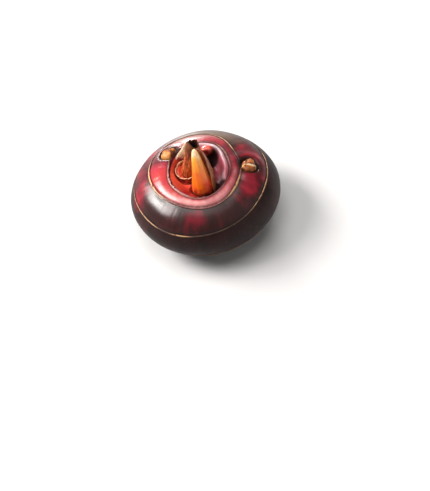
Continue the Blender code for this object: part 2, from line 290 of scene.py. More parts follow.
def side_bud_matrix(place, beak):
    """Stands a side bud square to the skin with its beak turned that way."""
    x, y = place
    away = math.hypot(x, y / DEPTH_RATIO) / CORM_RADIUS
    z = EQUATOR_HEIGHT + CORM_HALF_HEIGHT * math.sqrt(1 - away**2)
    steepness = (CORM_RADIUS / CORM_HALF_HEIGHT) ** 2
    normal = Vector((x, y / DEPTH_RATIO**2, (z - EQUATOR_HEIGHT) * steepness)).normalized()
    spot = Matrix.Translation(Vector((x, y, z)) - normal * SIDE_BUD_SINK)
    tilt = Vector((0, 0, 1)).rotation_difference(normal).to_matrix().to_4x4()
    return spot @ tilt @ Matrix.Rotation(beak, 4, "Z")


pits = []
for place, beak, size, width in SIDE_BUDS.values():
    pits.append((side_bud_matrix(place, beak).inverted(), size, width))


def pit_distance(point):
    """How far a point is from the nearest pit's middle, where 1 is the pit's edge."""
    nearest = 9.0
    for into_bud, size, width in pits:
        local = into_bud @ point
        if abs(local.z) < PIT_REACH:
            away = math.hypot(local.x / size, local.y / (size * width)) / PIT_RADIUS
            nearest = min(nearest, away)
    return nearest


# %% [markdown]
# ## The skin's relief
# Over the smooth body lie several layers of relief. Each band between two scars swells a
# little. A scar is a fine ridge with a groove on its upper side, where the leaf was. The skin
# also rolls gently, as a grown thing does, and has fine wrinkles that run from crown to base.
# All of this could be left to a bump in the material, but then the outline and the highlights
# would stay too even, so whatever is wider than a hair is real relief.

# %% Relief of the outer skin
SCAR_RIDGE = 0.12 * MM
SCAR_RIDGE_WIDTH = 0.13 * MM
SCAR_GROOVE = 0.12 * MM
SCAR_GROOVE_WIDTH = 0.22 * MM
SCAR_GROOVE_AT = 0.42 * MM
ROLL_HEIGHT = 0.11 * MM
ROLL_SIZE = 7.0 * MM
WRINKLE_HEIGHT = 0.018 * MM
WRINKLE_DETAIL = 26
CALM_WIDTH = 1.5 * MM
FLAT_EDGE_FADE = 2.5 * MM


def scar_relief(distance):
    """The ridge of a scar and its groove, at a distance up the skin from the scar."""
    ridge = SCAR_RIDGE * math.exp(-((distance / SCAR_RIDGE_WIDTH) ** 2))
    groove = SCAR_GROOVE * math.exp(-(((distance - SCAR_GROOVE_AT) / SCAR_GROOVE_WIDTH) ** 2))
    return ridge - groove


def skin_point(band, share, angle):
    """A point of the skin in a band, a share of the way down from its upper scar."""
    top = scar_latitude(SCARS[band], angle)
    bottom = scar_latitude(SCARS[band + 1], angle)
    latitude = top + (bottom - top) * share
    point, facing = body_frame(latitude, angle)
    below_top = (top - latitude) * skin_run(latitude)
    above_bottom = (latitude - bottom) * skin_run(latitude)
    lift = BAND_SWELL * math.sin(math.pi * share) + scar_relief(-below_top)
    if band < LAST_BAND:
        lift += scar_relief(above_bottom)
    where = point / ROLL_SIZE
    soft = smooth(below_top, 0, CALM_WIDTH) * smooth(above_bottom, 0, CALM_WIDTH)
    lift += ROLL_HEIGHT * chance(where.x, where.y, 1.6 * where.z, 1) * soft
    lift += WRINKLE_HEIGHT * chance_round(angle, WRINKLE_DETAIL, 2 + band) * soft
    away = pit_distance(point)
    if away < 3:
        lift += PIT_SWELL * hump(away - 1.25, 0.9) - PIT_DEPTH * (1 - smooth(away, 0.72, 1.12))
    if band == LAST_BAND:
        lift *= smooth(above_bottom, 0, FLAT_EDGE_FADE)
    point += facing * lift
    point.z = max(point.z, 0.0)
    return latitude, point


# %% [markdown]
# ## The dished crown
# Inside the innermost scar the crown is a shallow dish. A smooth lobe curls round its right
# and back like a rolled lip, and behind the shoots the dish falls into a recess that painted
# shade darkens. Just inside the rim at the right front its side is steeper and leaves a groove,
# which with painted shade gives the deep dark beside the pointed shoot. Round the foot of each
# shoot the flesh draws in, so the shoots look grown in and not pushed in. A foot is written as
# its middle and its half sizes.
#
# The dish could be carved with sculpting strokes. A formula was chosen instead, because each
# feature then has its own named numbers and can be moved without touching the others.

# %% Shape of the crown
SHOOT_FEET = (
    (-0.42 * MM, -4.3 * MM, 3.0 * MM, 2.2 * MM),
    (-3.6 * MM, 2.0 * MM, 3.3 * MM, 3.3 * MM),
)
MOAT_DEPTH = 0.9 * MM
MOAT_WIDTH = 0.9 * MM


def crown_point(share, angle):
    """A point of the crown, a share of the way from its middle to its rim."""
    rim, _ = body_frame(scar_latitude(RIM_SCAR, angle), angle)
    x = CROWN_CENTRE[0] + share * (rim.x - CROWN_CENTRE[0])
    y = CROWN_CENTRE[1] + share * (rim.y - CROWN_CENTRE[1])
    rim_height = rim.z - LIP_DROP
    groove = broad_hump(turn_between(angle, GROOVE_MIDDLE), GROOVE_HALF_TURN)
    rise_from = FLOOR_SHARE + (GROOVE_SHARE - FLOOR_SHARE) * groove
    height = FLOOR_HEIGHT + (rim_height - FLOOR_HEIGHT) * smooth(share, rise_from, 1.0)
    present = near_turn(angle, LOBE_MIDDLE, LOBE_FULL_TURN, LOBE_END_TURN)
    back = smooth(math.sin(angle), 0.2, 0.9)
    crest = LOBE_SHARE_SIDE + (LOBE_SHARE_BACK - LOBE_SHARE_SIDE) * back
    height += present * LOBE_HEIGHT * hump(share - crest, LOBE_HALF_WIDTH)
    away = math.hypot(x - RECESS_CENTRE[0], y - RECESS_CENTRE[1])
    height -= RECESS_DEPTH * hump(away, RECESS_RADIUS)
    for foot_x, foot_y, half_width, half_depth in SHOOT_FEET:
        reach = math.hypot((x - foot_x) / half_width, (y - foot_y) / half_depth) - 1
        height -= MOAT_DEPTH * hump(reach * half_width, MOAT_WIDTH)
    uneven = CROWN_UNEVENNESS * chance(x / CROWN_UNEVEN_SIZE, y / CROWN_UNEVEN_SIZE, 0.0, 4)
    height += uneven * (1 - smooth(share, 0.9, 1))
    lip = smooth(share, LIP_SHARE, 1.0)
    return Vector((x, y, height + (rim.z - height) * lip))


def base_point(share, angle):
    """The flat ring that the corm stands on, then the hollow up to its middle."""
    radius = FLAT_OUTER_RADIUS * (1 - share)
    height = BASE_HOLLOW_DEPTH * smooth(FLAT_INNER_RADIUS - radius, 0, BASE_SLOPE_WIDTH)
    if radius < FLAT_INNER_RADIUS:
        x, y = radius * math.cos(angle) / MM, radius * math.sin(angle) / MM
        height += BASE_UNEVENNESS * chance(x, y, 0, 5)
    height = max(height, 0.0)
    return Vector((radius * math.cos(angle), radius * DEPTH_RATIO * math.sin(angle), height))


# %% [markdown]
# ## Turning the skin
# The skin is one closed surface. A straight line of points is extruded upward and spun into a
# tube, and the tube is cut finer. Every ring of the tube then moves to its own ring on the
# corm: the first ones cover the crown, the next ones the four bands, and the last ones the
# base. More rings go where there is more to see. A ready-made ball would have its rings evenly
# spaced, and none of them would follow a scar.

# %% Spin and shape the corm
TUBE_RADIUS = 30 * MM
TUBE_STEP = 1 * MM
TUBE_RINGS = 56
TUBE_SIDES = 90
TUBE_CUTS = 3
ZONE_ENDS = (0.29, 0.43, 0.60, 0.77, 0.91, 1.0)
CROWN_ZONE = 0
BASE_ZONE = 5
RING_CROWDING = 0.75

let_go()
bpy.ops.mesh.primitive_plane_add(size=TUBE_STEP, location=(TUBE_RADIUS, 0, 0))
corm = start("corm_skin")
bpy.ops.mesh.merge(type="CENTER")
for _ in range(TUBE_RINGS):
    bpy.ops.mesh.extrude_region_move(TRANSFORM_OT_translate={"value": (0, 0, TUBE_STEP)})
bpy.ops.mesh.select_all(action="SELECT")
bpy.ops.mesh.spin(steps=TUBE_SIDES, angle=2 * math.pi, center=(0, 0, 0), axis=(0, 0, 1))
bpy.ops.mesh.select_all(action="SELECT")
bpy.ops.mesh.remove_doubles(threshold=0.01 * MM)
bpy.ops.mesh.subdivide(number_cuts=TUBE_CUTS)
bpy.ops.object.mode_set(mode="OBJECT")
bpy.ops.object.transform_apply(location=True, rotation=True, scale=True)


def spread(share):
    """Moves rings towards both ends of a band, where the scars are."""
    return share - RING_CROWDING * math.sin(2 * math.pi * share) / (2 * math.pi)


def place_on_corm(down, angle):
    """The zone, the share of that zone, the latitude and the point for a place on the tube."""
    start_at = 0.0
    for zone, end_at in enumerate(ZONE_ENDS):
        if down <= end_at + 1e-6:
            break
        start_at = end_at
    share = min(1.0, (down - start_at) / (end_at - start_at))
    if zone == CROWN_ZONE:
        return zone, share, 90 * DEGREE, crown_point(share, angle)
    if zone == BASE_ZONE:
        return zone, share, FLAT_LATITUDE, base_point(share, angle)
    share = spread(share)
    return zone, share, *skin_point(zone - 1, share, angle)


tube_height = TUBE_RINGS * TUBE_STEP
grown = []
for vertex in corm.data.vertices:
    angle = math.atan2(vertex.co.y, vertex.co.x)
    down = min(1.0, max(0.0, 1 - vertex.co.z / tube_height))
    zone, share, latitude, vertex.co = place_on_corm(down, angle)
    grown.append((zone, share, angle, latitude))
print("shaped", len(grown), "points of the skin")

# %% [markdown]
# ## How full each scar is
# The dry remains on a scar are tall in some places and worn away in others. Each scar gets
# the height of its remains, the least share of it that is left, and the places where it is
# full, each as an angle and a half turn in degrees. The paint on the skin and the frills
# further down both read these facts, so that the two always agree.

# %% Dress of the scars
SCAR_DRESS = {
    "rim": (RIM_SCAR, 0.34 * MM, 0.22, ((200, 85), (25, 50), (-98, 12))),
    "upper": (UPPER_SCAR, 0.50 * MM, 0.12, ((176, 50), (-42, 30), (50, 40), (116, 34))),
    "middle": (
        MIDDLE_SCAR, 0.30 * MM, 0.16, ((190, 26), (-14, 50), (108, 56), (-118, 12), (-150, 14))
    ),
    "lower": (LOWER_SCAR, 0.34 * MM, 0.34, ((-60, 74), (130, 74))),
}


def fullness(dress, angle):
    """How much of a scar's dry remains is left there, where 1 is all of it."""
    _, _, least, places = dress
    full = 0.0
    for middle, half_turn in places:
        turn = turn_between(angle, middle * DEGREE)
        full = max(full, broad_hump(turn, half_turn * DEGREE))
    return least + (1 - least) * full


# %% [markdown]
# ## Painting the skin with attributes
# The skin isn't one colour. The first band is bright crimson, the second is dark with crimson
# patches, and below the middle scar it is nearly black. Where the patches lie is painted on
# the points as one value, from 0 for black to 1 for bright red, and the material turns that
# value into colour. An image could hold the patches as well, but values on the points need no
# unwrapping. Each patch is a place in degrees, a half size and a strength.
#
# More values mark the scars with their golden threads and the painted shade beside them, the
# pink bloom of the first band with its painted sheen, the khaki skin at the back with a painted
# reflection over it, the painted light on the crown's orange-red floor, the crown's painted
# shade, its lobe with a painted highlight on the lobe's crest and nose, and the painted shade
# of the pits. The last one is shine. Only the upper skin is wet, and dull places in it leave the
# highlights where the photograph has them.

# %% Patches of colour
BAND_REDNESS = (0.80, 0.23, 0.10, 0.08)
CROWN_REDNESS = 0.62
BASE_REDNESS = 0.04
PATCHES = {
    "left strip": (187, 31, 9, 18, 0.30),
    "left shoulder": (160, 34, 26, 20, 0.26),
    "front": (-103, 41, 13, 12, 0.25),
    "front low": (-111, 27, 14, 11, 0.07),
    "front right": (-62, 36, 30, 13, 0.05),
    "below the bud": (-30, 46, 18, 12, 0.42),
    "right": (-6, 34, 16, 11, 0.22),
    "above the bud": (17, 47, 19, 12, 0.35),
    "back": (92, 46, 20, 10, 0.10),
    "back left": (128, 38, 20, 15, 0.22),
    "low back": (98, 6, 12, 14, 0.20),
    "low left": (205, 4, 10, 16, 0.15),
    "low right": (-20, 2, 14, 12, 0.12),
}
# Painted shade just above the right bud's pit.
PIT_SHADE_ABOVE_RIGHT_BUD = (-5, 57.5, 9, 4.6)
# Dry khaki skin at the back, with a painted reflection of the pale room over it; it is dull there
# too.
DRY_AND_REFLECTING_BACK = (84, 45, 50, 10)
DULL_PLACES = (
    (15, 46, 62, 26, 0.85),
    (-74, 40, 44, 22, 0.85),
    (187, 30, 12, 14, 0.90),
    (150, 51, 22, 13, 0.88),
    (152, 32, 26, 12, 0.80),
)
SHADE_MIDDLE = -72 * DEGREE
SHADE_FULL_TURN = 25 * DEGREE
SHADE_END_TURN = 36 * DEGREE


def inside_patch(place, angle, latitude, ragged=0.0):
    """1 in a patch and 0 outside, with a soft, ragged edge."""
    middle, at, half_turn, half_height = place
    turn = turn_between(angle, middle * DEGREE) / (half_turn * DEGREE)
    rise = (latitude / DEGREE - at) / half_height
    return 1 - smooth(math.hypot(turn, rise) + ragged, 0.2, 1.5)


def redness(zone, share, angle, latitude):
    """From 0 for black to 1 for bright red."""
    if zone == CROWN_ZONE:
        return CROWN_REDNESS
    if zone == BASE_ZONE:
        return BASE_REDNESS
    red = BAND_REDNESS[zone - 1]
    if zone == 1:
        red += 0.11 * math.cos(angle - 172 * DEGREE) - 0.05 * smooth(share, 0.6, 1)
        red -= 0.20 * hump(turn_between(angle, 18 * DEGREE), 60 * DEGREE)
        red -= 0.42 * hump(turn_between(angle, 139 * DEGREE), 38 * DEGREE)
        return red
    around = Vector((math.cos(angle), math.sin(angle), 0.9 * latitude))
    ragged = 0.55 * chance(*(around * 4.5), 6) + 0.40 * chance(*(around * 11), 7)
    ragged += 0.16 * chance_round(angle, 22, 8)
    for *place, strength in PATCHES.values():
        red += strength * inside_patch(place, angle, latitude, ragged)
    return red


def bloom_and_painted_sheen(share, angle):
    """The waxy pink bloom on the first band with painted sheen over it, fullest at the front."""
    facing = max(
        broad_hump(turn_between(angle, -101 * DEGREE), 66 * DEGREE),
        0.30 * hump(turn_between(angle, -40 * DEGREE), 36 * DEGREE),
    )
    mottled = 0.85 + 0.3 * chance_round(angle, 9, 14)
    below_the_rim = smooth(share + 0.10 * chance_round(angle, 14, 16), 0.08, 0.52)
    return min(1.0, facing * mottled * below_the_rim * (1 - 0.3 * smooth(share, 0.8, 1)))


def crown_lit_floor(share, angle):
    """The crown's orange-red floor, brightened with painted light at the left and front."""
    facing = broad_hump(turn_between(angle, 203 * DEGREE), 118 * DEGREE)
    return facing * smooth(share, 0.28, 0.50) * (1 - smooth(share, 0.90, 0.975))


def lobe_paint(share, angle):
    """The lobe is mauve from its inner slope to just inside the lip."""
    present = near_turn(angle, LOBE_MIDDLE, 64 * DEGREE, LOBE_END_TURN)
    return present * smooth(share, 0.46, 0.66) * (1 - smooth(share, 0.92, 0.97))


def lobe_painted_highlight(share, angle):
    """A painted highlight along the lobe's crest at the back, and on its nose at the right."""
    crest = hump(turn_between(angle, 46 * DEGREE), 72 * DEGREE) ** 0.7 * hump(share - 0.885, 0.10)
    nose = hump(turn_between(angle, -38 * DEGREE), 28 * DEGREE) * hump(share - 0.73, 0.20)
    return max(0.9 * crest, 0.85 * nose)


def crown_painted_shade(share, angle, point):
    """Painted shade where the crown is deep: recess, groove, each shoot's foot and under the lip.
    """
    recess = 1 - smooth(math.dist(point.xy, RECESS_CENTRE), 1.6 * MM, 3.1 * MM)
    dark = max(recess, 0.85 * (1 - smooth(share, 0.32, 0.56)))
    right_front = near_turn(angle, SHADE_MIDDLE, SHADE_FULL_TURN, SHADE_END_TURN)
    dark = max(dark, right_front * (1 - smooth(share, 0.97, 0.995)))
    for foot_x, foot_y, half_width, half_depth in SHOOT_FEET:
        reach = math.hypot((point.x - foot_x) / half_width, (point.y - foot_y) / half_depth) - 1
        dark = max(dark, 0.75 * hump(reach * half_width, 0.6 * MM))
    return min(1.0, max(dark, hump(share - 0.960, 0.038)))


# %% [markdown]
# One walk over the points now paints every value. Each value is kept under its own name, and
# the skin's material reads it by that name. A last attribute holds a place on an upright
# cylinder, on which noise is drawn out into streaks that run from crown to base.

# %% Paint values on the points
PAINTS = (
    "red", "bloom_and_sheen", "khaki_and_reflection", "lit_floor", "depth", "lobe", "pale", "straw", "scar_shade", "pit", "shine"
)
PITTED_ZONES = (1, 2)
SCARRED_ZONES = (1, 2, 3, 4)
NEAR_A_SCAR = 2 * MM
STRAW_WIDTH = 0.15 * MM
SCAR_SHADE_AT = 0.30 * MM
SCAR_SHADE_ABOVE = 0.45 * MM
SCAR_SHADE_BELOW = 0.28 * MM
SHINE_LEAST = 0.02
SHINE_GAIN = 0.88
SHINE_FROM = 15 * MM
SHINE_TO = 18.6 * MM
STREAK_RADIUS = 12 * MM
STREAK_SQUASH = 0.16

painted = {name: [] for name in PAINTS}
streak = []
for vertex, (zone, share, angle, latitude) in zip(corm.data.vertices, grown):
    point = vertex.co
    in_crown = zone == CROWN_ZONE
    painted["red"].append(redness(zone, share, angle, latitude))
    # The first band's pink bloom is partly the skin's own and partly painted sheen.
    painted["bloom_and_sheen"].append(bloom_and_painted_sheen(share, angle) if zone == 1 else 0.0)
    # Painted light on the crown's orange-red floor, strongest at the left and front.
    painted["lit_floor"].append(crown_lit_floor(share, angle) if in_crown else 0.0)
    # The depth value is painted shade in the crown's recess, groove, round the shoots' feet and
    # under the lip.
    painted["depth"].append(crown_painted_shade(share, angle, point) if in_crown else 0.0)
    painted["lobe"].append(lobe_paint(share, angle) if in_crown else 0.0)
    # The pale value is a painted highlight on the lobe's crest and nose.
    painted["pale"].append(lobe_painted_highlight(share, angle) if in_crown else 0.0)
    # At the back the skin is partly dry khaki and partly a painted reflection of the pale room.
    dry_and_reflecting_back = inside_patch(DRY_AND_REFLECTING_BACK, angle, latitude, 0.3 * chance_round(angle, 9, 15))
    painted["khaki_and_reflection"].append(0.0 if in_crown else 0.9 * dry_and_reflecting_back)
    # Painted shade darkens each side bud's pit, and a little more lies just above the right bud's
    # pit.
    pit = 0.0
    if zone in PITTED_ZONES:
        pit = 1 - smooth(pit_distance(point), 0.90, 1.32)
        pit = max(pit, 0.8 * inside_patch(PIT_SHADE_ABOVE_RIGHT_BUD, angle, latitude))
    painted["pit"].append(pit)
    # Beside each scar lies a dark line of painted shade, with golden straw on the scar itself.
    straw = scar_shade = 0.0
    if zone in SCARRED_ZONES:
        for dress in SCAR_DRESS.values():
            gap = (latitude - scar_latitude(dress[0], angle)) * skin_run(latitude)
            if abs(gap) < NEAR_A_SCAR:
                full = fullness(dress, angle)
                straw = max(straw, full * math.exp(-((gap / STRAW_WIDTH) ** 2)))
                width = SCAR_SHADE_ABOVE if gap > 0 else SCAR_SHADE_BELOW
                scar_shade = max(scar_shade, math.exp(-(((abs(gap) - SCAR_SHADE_AT) / width) ** 2)))
    painted["straw"].append(straw)
    painted["scar_shade"].append(scar_shade * (1 - straw))
    dull = 0.9 * dry_and_reflecting_back
    for *place, strength in DULL_PLACES:
        dull = max(dull, strength * inside_patch(place, angle, latitude))
    if in_crown:
        dull = painted["depth"][-1]
    shine = SHINE_LEAST + SHINE_GAIN * smooth(point.z, SHINE_FROM, SHINE_TO)
    painted["shine"].append(shine * (1 - dull))
    streak.append(STREAK_RADIUS * math.cos(angle))
    streak.append(STREAK_RADIUS * math.sin(angle))
    streak.append(STREAK_SQUASH * point.z)

for name, values in painted.items():
    paint(corm, name, values)
    print("painted", name, "from", round(min(values), 2), "to", round(max(values), 2))
corm.data.attributes.new("streak", "FLOAT_VECTOR", "POINT").data.foreach_set("vector", streak)

pick(corm)
bpy.ops.object.mode_set(mode="EDIT")
close_up(0.0005 * MM)
set_down(corm, 80)
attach(corm, BODY)
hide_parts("corm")
report(corm)

# %% [markdown]
# ## Node helpers
# A material is a small network of nodes. These helpers add a node, wire it and set its
# values, so that each finish below reads as a short list of what it is made of.

# %% Node helpers
RANGE_SOCKETS = ("From Min", "From Max", "To Min", "To Max")
MIX_FACTOR, MIX_A, MIX_B, MIX_COLOUR = 0, 6, 7, 2


class Finish:
    """A Principled material being built."""

    def __init__(self, name, roughness, **sockets):
        self.material = bpy.data.materials.new(name)
        self.material.use_nodes = True
        self.tree = self.material.node_tree
        self.shader = self.tree.nodes["Principled BSDF"]
        self.shader.inputs["Roughness"].default_value = roughness
        for socket, value in sockets.items():
            self.shader.inputs[socket.replace("_", " ")].default_value = value

    def node(self, kind, **settings):
        made = self.tree.nodes.new(kind)
        for name, value in settings.items():
            setattr(made, name, value)
        return made

    def wire(self, source, target):
        self.tree.links.new(source, target)

    def attribute(self, name, output="Fac"):
        return self.node("ShaderNodeAttribute", attribute_name=name).outputs[output]

    def place(self, scale=(1, 1, 1)):
        """Object coordinates, stretched."""
        coordinates = self.node("ShaderNodeTexCoord").outputs["Object"]
        return self.stretch(coordinates, scale)

    def stretch(self, vector, scale):
        mapping = self.node("ShaderNodeMapping")
        mapping.inputs["Scale"].default_value = scale
        self.wire(vector, mapping.inputs["Vector"])
        return mapping.outputs["Vector"]

    def noise(self, vector, scale, detail=3.0, rough=0.55, distortion=0.0):
        made = self.node("ShaderNodeTexNoise")
        made.inputs["Scale"].default_value = scale
        made.inputs["Detail"].default_value = detail
        made.inputs["Roughness"].default_value = rough
        made.inputs["Distortion"].default_value = distortion
        self.wire(vector, made.inputs["Vector"])
        return made.outputs["Fac"]

    def math(self, operation, a, b=None, clamp=False):
        made = self.node("ShaderNodeMath", operation=operation, use_clamp=clamp)
        for socket, value in zip(made.inputs, (a, b)):
            if isinstance(value, (int, float)):
                socket.default_value = value
            elif value is not None:
                self.wire(value, socket)
        return made.outputs[0]

    def span(self, value, low, high, out_low=0.0, out_high=1.0):
        """Moves values from low..high to out_low..out_high."""
        made = self.node("ShaderNodeMapRange")
        for socket, number in zip(RANGE_SOCKETS, (low, high, out_low, out_high)):
            made.inputs[socket].default_value = number
        self.wire(value, made.inputs["Value"])
        return made.outputs["Result"]

    def ramp(self, value, stops):
        """Colours at positions from 0 to 1."""
        made = self.node("ShaderNodeValToRGB")
        ramp = made.color_ramp
        while len(ramp.elements) < len(stops):
            ramp.elements.new(0.5)
        for element, (position, colour) in zip(ramp.elements, stops):
            element.position = position
            element.color = (*colour, 1)
        self.wire(value, made.inputs["Fac"])
        return made.outputs["Color"]

    def mix(self, factor, a, b, blend="MIX"):
        made = self.node("ShaderNodeMix", data_type="RGBA", blend_type=blend)
        for number, value in ((MIX_FACTOR, factor), (MIX_A, a), (MIX_B, b)):
            socket = made.inputs[number]
            if isinstance(value, tuple):
                socket.default_value = (*value, 1)
            elif isinstance(value, (int, float)):
                socket.default_value = value
            else:
                self.wire(value, socket)
        return made.outputs[MIX_COLOUR]

    def bump(self, height, distance, strength=1.0, below=None):
        made = self.node("ShaderNodeBump")
        made.inputs["Strength"].default_value = strength
        made.inputs["Distance"].default_value = distance
        self.wire(height, made.inputs["Height"])
        if below is not None:
            self.wire(below, made.inputs["Normal"])
        return made.outputs["Normal"]

    def colour(self, value):
        self.wire(value, self.shader.inputs["Base Color"])

    def roughness(self, value):
        self.wire(value, self.shader.inputs["Roughness"])

    def normal(self, value):
        self.wire(value, self.shader.inputs["Normal"])

    def on(self, *pieces):
        for piece in pieces:
            piece.data.materials.clear()
            piece.data.materials.append(self.material)


# %% [markdown]
# ## The skin's finish
# The painted redness is shifted by long streaks and by soft mottling and then looked up in a
# ramp from near black through maroon to crimson. The other paints are laid over it one by one:
# the bloom with its painted sheen, the mauve lobe with its painted highlight, the khaki with its
# painted reflection, the crown's floor with painted light and veins, painted shade in the crown
# and the pits, small pale specks, and painted shade beside the scars with their golden threads.
# The skin itself shines weakly. A clear coat lies where shine is painted, and a grain on the
# coat's own normal breaks up its highlights. The bump carries wrinkles and pores too fine to
# model.

# %% Skin finish
NEAR_BLACK = (0.010, 0.0055, 0.005)
DARK_MAROON = (0.034, 0.010, 0.010)
DEEP_CRIMSON = (0.135, 0.008, 0.016)
CRIMSON = (0.34, 0.017, 0.032)
BRIGHT_RED = (0.43, 0.024, 0.018)
PALE_PINK = (0.67, 0.33, 0.315)
LIT_FLOOR_RED = (0.98, 0.115, 0.055)
FRONT_FLESH = (0.24, 0.010, 0.012)
VEIN_RED = (0.50, 0.022, 0.018)
LOBE_MAUVE = (0.36, 0.075, 0.100)
LOBE_HIGHLIGHT_PALE = (0.60, 0.47, 0.50)
KHAKI_AND_REFLECTION = (0.15, 0.100, 0.070)
CROWN_SHADE = (0.022, 0.005, 0.007)
PIT_SHADE_BROWN = (0.024, 0.010, 0.007)
SPECK = (0.12, 0.055, 0.045)
GOLDEN_SCAR = (0.42, 0.21, 0.10)

skin = Finish("corm_skin", 0.36, Specular_IOR_Level=0.15, Coat_Roughness=0.22)
skin.wire(skin.attribute("shine"), skin.shader.inputs["Coat Weight"])
long_streaks = skin.noise(skin.attribute("streak", "Vector"), 420, 4.0, 0.6, 0.3)
fine_streaks = skin.noise(skin.attribute("streak", "Vector"), 1500, 3.0, 0.6)
mottling = skin.noise(skin.place(), 260, 5.0, 0.6)
shift = skin.math(
    "ADD",
    skin.span(long_streaks, 0.3, 0.7, -0.085, 0.085),
    skin.span(mottling, 0.3, 0.7, -0.075, 0.075),
)
shift = skin.math("ADD", shift, skin.span(fine_streaks, 0.3, 0.7, -0.03, 0.03))
shifted_red = skin.math("ADD", skin.attribute("red"), shift, clamp=True)
colour = skin.ramp(
    shifted_red,
    (
        (0.0, NEAR_BLACK),
        (0.30, DARK_MAROON),
        (0.55, DEEP_CRIMSON),
        (0.80, CRIMSON),
        (1.0, BRIGHT_RED),
    ),
)
# Pink bloom with painted sheen of the light from above.
bloom_and_sheen = skin.math("MULTIPLY", skin.attribute("bloom_and_sheen"), skin.span(mottling, 0.3, 0.7, 0.50, 0.95))
bloom_and_sheen = skin.math("MULTIPLY", bloom_and_sheen, skin.span(long_streaks, 0.35, 0.65, 0.86, 1.08), clamp=True)
colour = skin.mix(bloom_and_sheen, colour, PALE_PINK)
colour = skin.mix(skin.attribute("lobe"), colour, LOBE_MAUVE)
# Painted highlight on the lobe's crest and nose.
colour = skin.mix(skin.attribute("pale"), colour, LOBE_HIGHLIGHT_PALE)
# Khaki at the back: dry skin with a painted reflection over it.
khaki_and_reflection = skin.math("MULTIPLY", skin.attribute("khaki_and_reflection"), skin.span(mottling, 0.3, 0.7, 0.5, 1.0))
colour = skin.mix(khaki_and_reflection, colour, KHAKI_AND_REFLECTION)
place_parts = skin.node("ShaderNodeSeparateXYZ")
skin.wire(skin.place(), place_parts.inputs[0])
near_front = skin.span(place_parts.outputs["Y"], -1 * MM, -6 * MM)
# The crown's floor: its own orange-red brightened by painted light, and darker red toward the
# front.
flesh = skin.mix(near_front, LIT_FLOOR_RED, FRONT_FLESH)
veins = skin.noise(skin.place(), 700, 4.0, 0.65, 0.8)
flesh = skin.mix(skin.span(veins, 0.42, 0.68, 0.0, 0.45), flesh, VEIN_RED)
colour = skin.mix(skin.attribute("lit_floor"), colour, flesh)
# Painted shade in the crown's recess, groove and under its lip.
colour = skin.mix(skin.attribute("depth"), colour, CROWN_SHADE)
# Painted shade in the pits round the side buds.
colour = skin.mix(skin.attribute("pit"), colour, PIT_SHADE_BROWN)
specks = skin.noise(skin.place(), 1700, 2.0, 0.5)
colour = skin.mix(skin.span(specks, 0.64, 0.76, 0.0, 0.24), colour, SPECK)
grit = skin.noise(skin.place(), 1100, 3.0, 0.6)
# Painted shade: the dark lines beside the scars.
scar_shade = skin.math("MULTIPLY", skin.attribute("scar_shade"), skin.span(grit, 0.35, 0.6, 0.55, 0.9))
colour = skin.mix(scar_shade, colour, NEAR_BLACK)
straw = skin.math("MULTIPLY", skin.attribute("straw"), skin.span(grit, 0.38, 0.56, 0.25, 0.95))
colour = skin.mix(straw, colour, GOLDEN_SCAR)
skin.colour(colour)
roughness = skin.span(skin.noise(skin.place(), 160, 4.0, 0.7), 0.3, 0.7, 0.25, 0.42)
dullness = skin.span(skin.attribute("shine"), 0.0, 0.6, 0.14, 0.0)
dull_depths = skin.math("MULTIPLY", skin.attribute("depth"), 0.42)
skin.roughness(skin.math("ADD", skin.math("ADD", roughness, dullness), dull_depths, clamp=True))
wrinkles = skin.noise(skin.attribute("streak", "Vector"), 3200, 4.0, 0.6)
pores = skin.noise(skin.place(), 1900, 2.0, 0.5)
rough_skin = skin.bump(wrinkles, 0.04 * MM, 0.28)
skin.normal(skin.bump(pores, 0.03 * MM, 0.25, rough_skin))
grain = skin.noise(skin.attribute("streak", "Vector"), 1300, 4.0, 0.7)
skin.wire(skin.bump(grain, 0.06 * MM, 0.5), skin.shader.inputs["Coat Normal"])
skin.on(corm)

# %% [markdown]
# ## Frills on the scars
# What is left of each scale leaf is a dry frill, thinner than paper and torn all along. It
# wrapped the corm above its scar, so it still leans uphill against the skin. A line of colour
# could stand for it, but only a real edge catches the light and throws a thin shadow. It is a
# ring of points, extruded three times, whose rows then follow the scar. A wall is given at the
# end, and how full the frill is there is painted on it for its colour.

# %% Frills
FRILL_SIDES = 900
FRILL_ROWS = 3
FRILL_THICKNESS = 0.05 * MM
FRILL_ROOT_SINK = 0.05 * MM
FRILL_UPHILL = 0.86
FRILL_OUTWARD = 0.42
FRILL_WAVE = 0.03 * MM


def frill_share(dress, angle, seed):
    """Its height there, with small teeth and a few deep tears."""
    teeth = 0.16 * chance_round(angle, 50, seed) + 0.12 * chance_round(angle, 140, seed)
    tears = smooth(chance_round(angle, 12, seed + 9), 0.15, 0.5)
    return max(0.06, fullness(dress, angle) * (1 + teeth - 0.6 * tears))


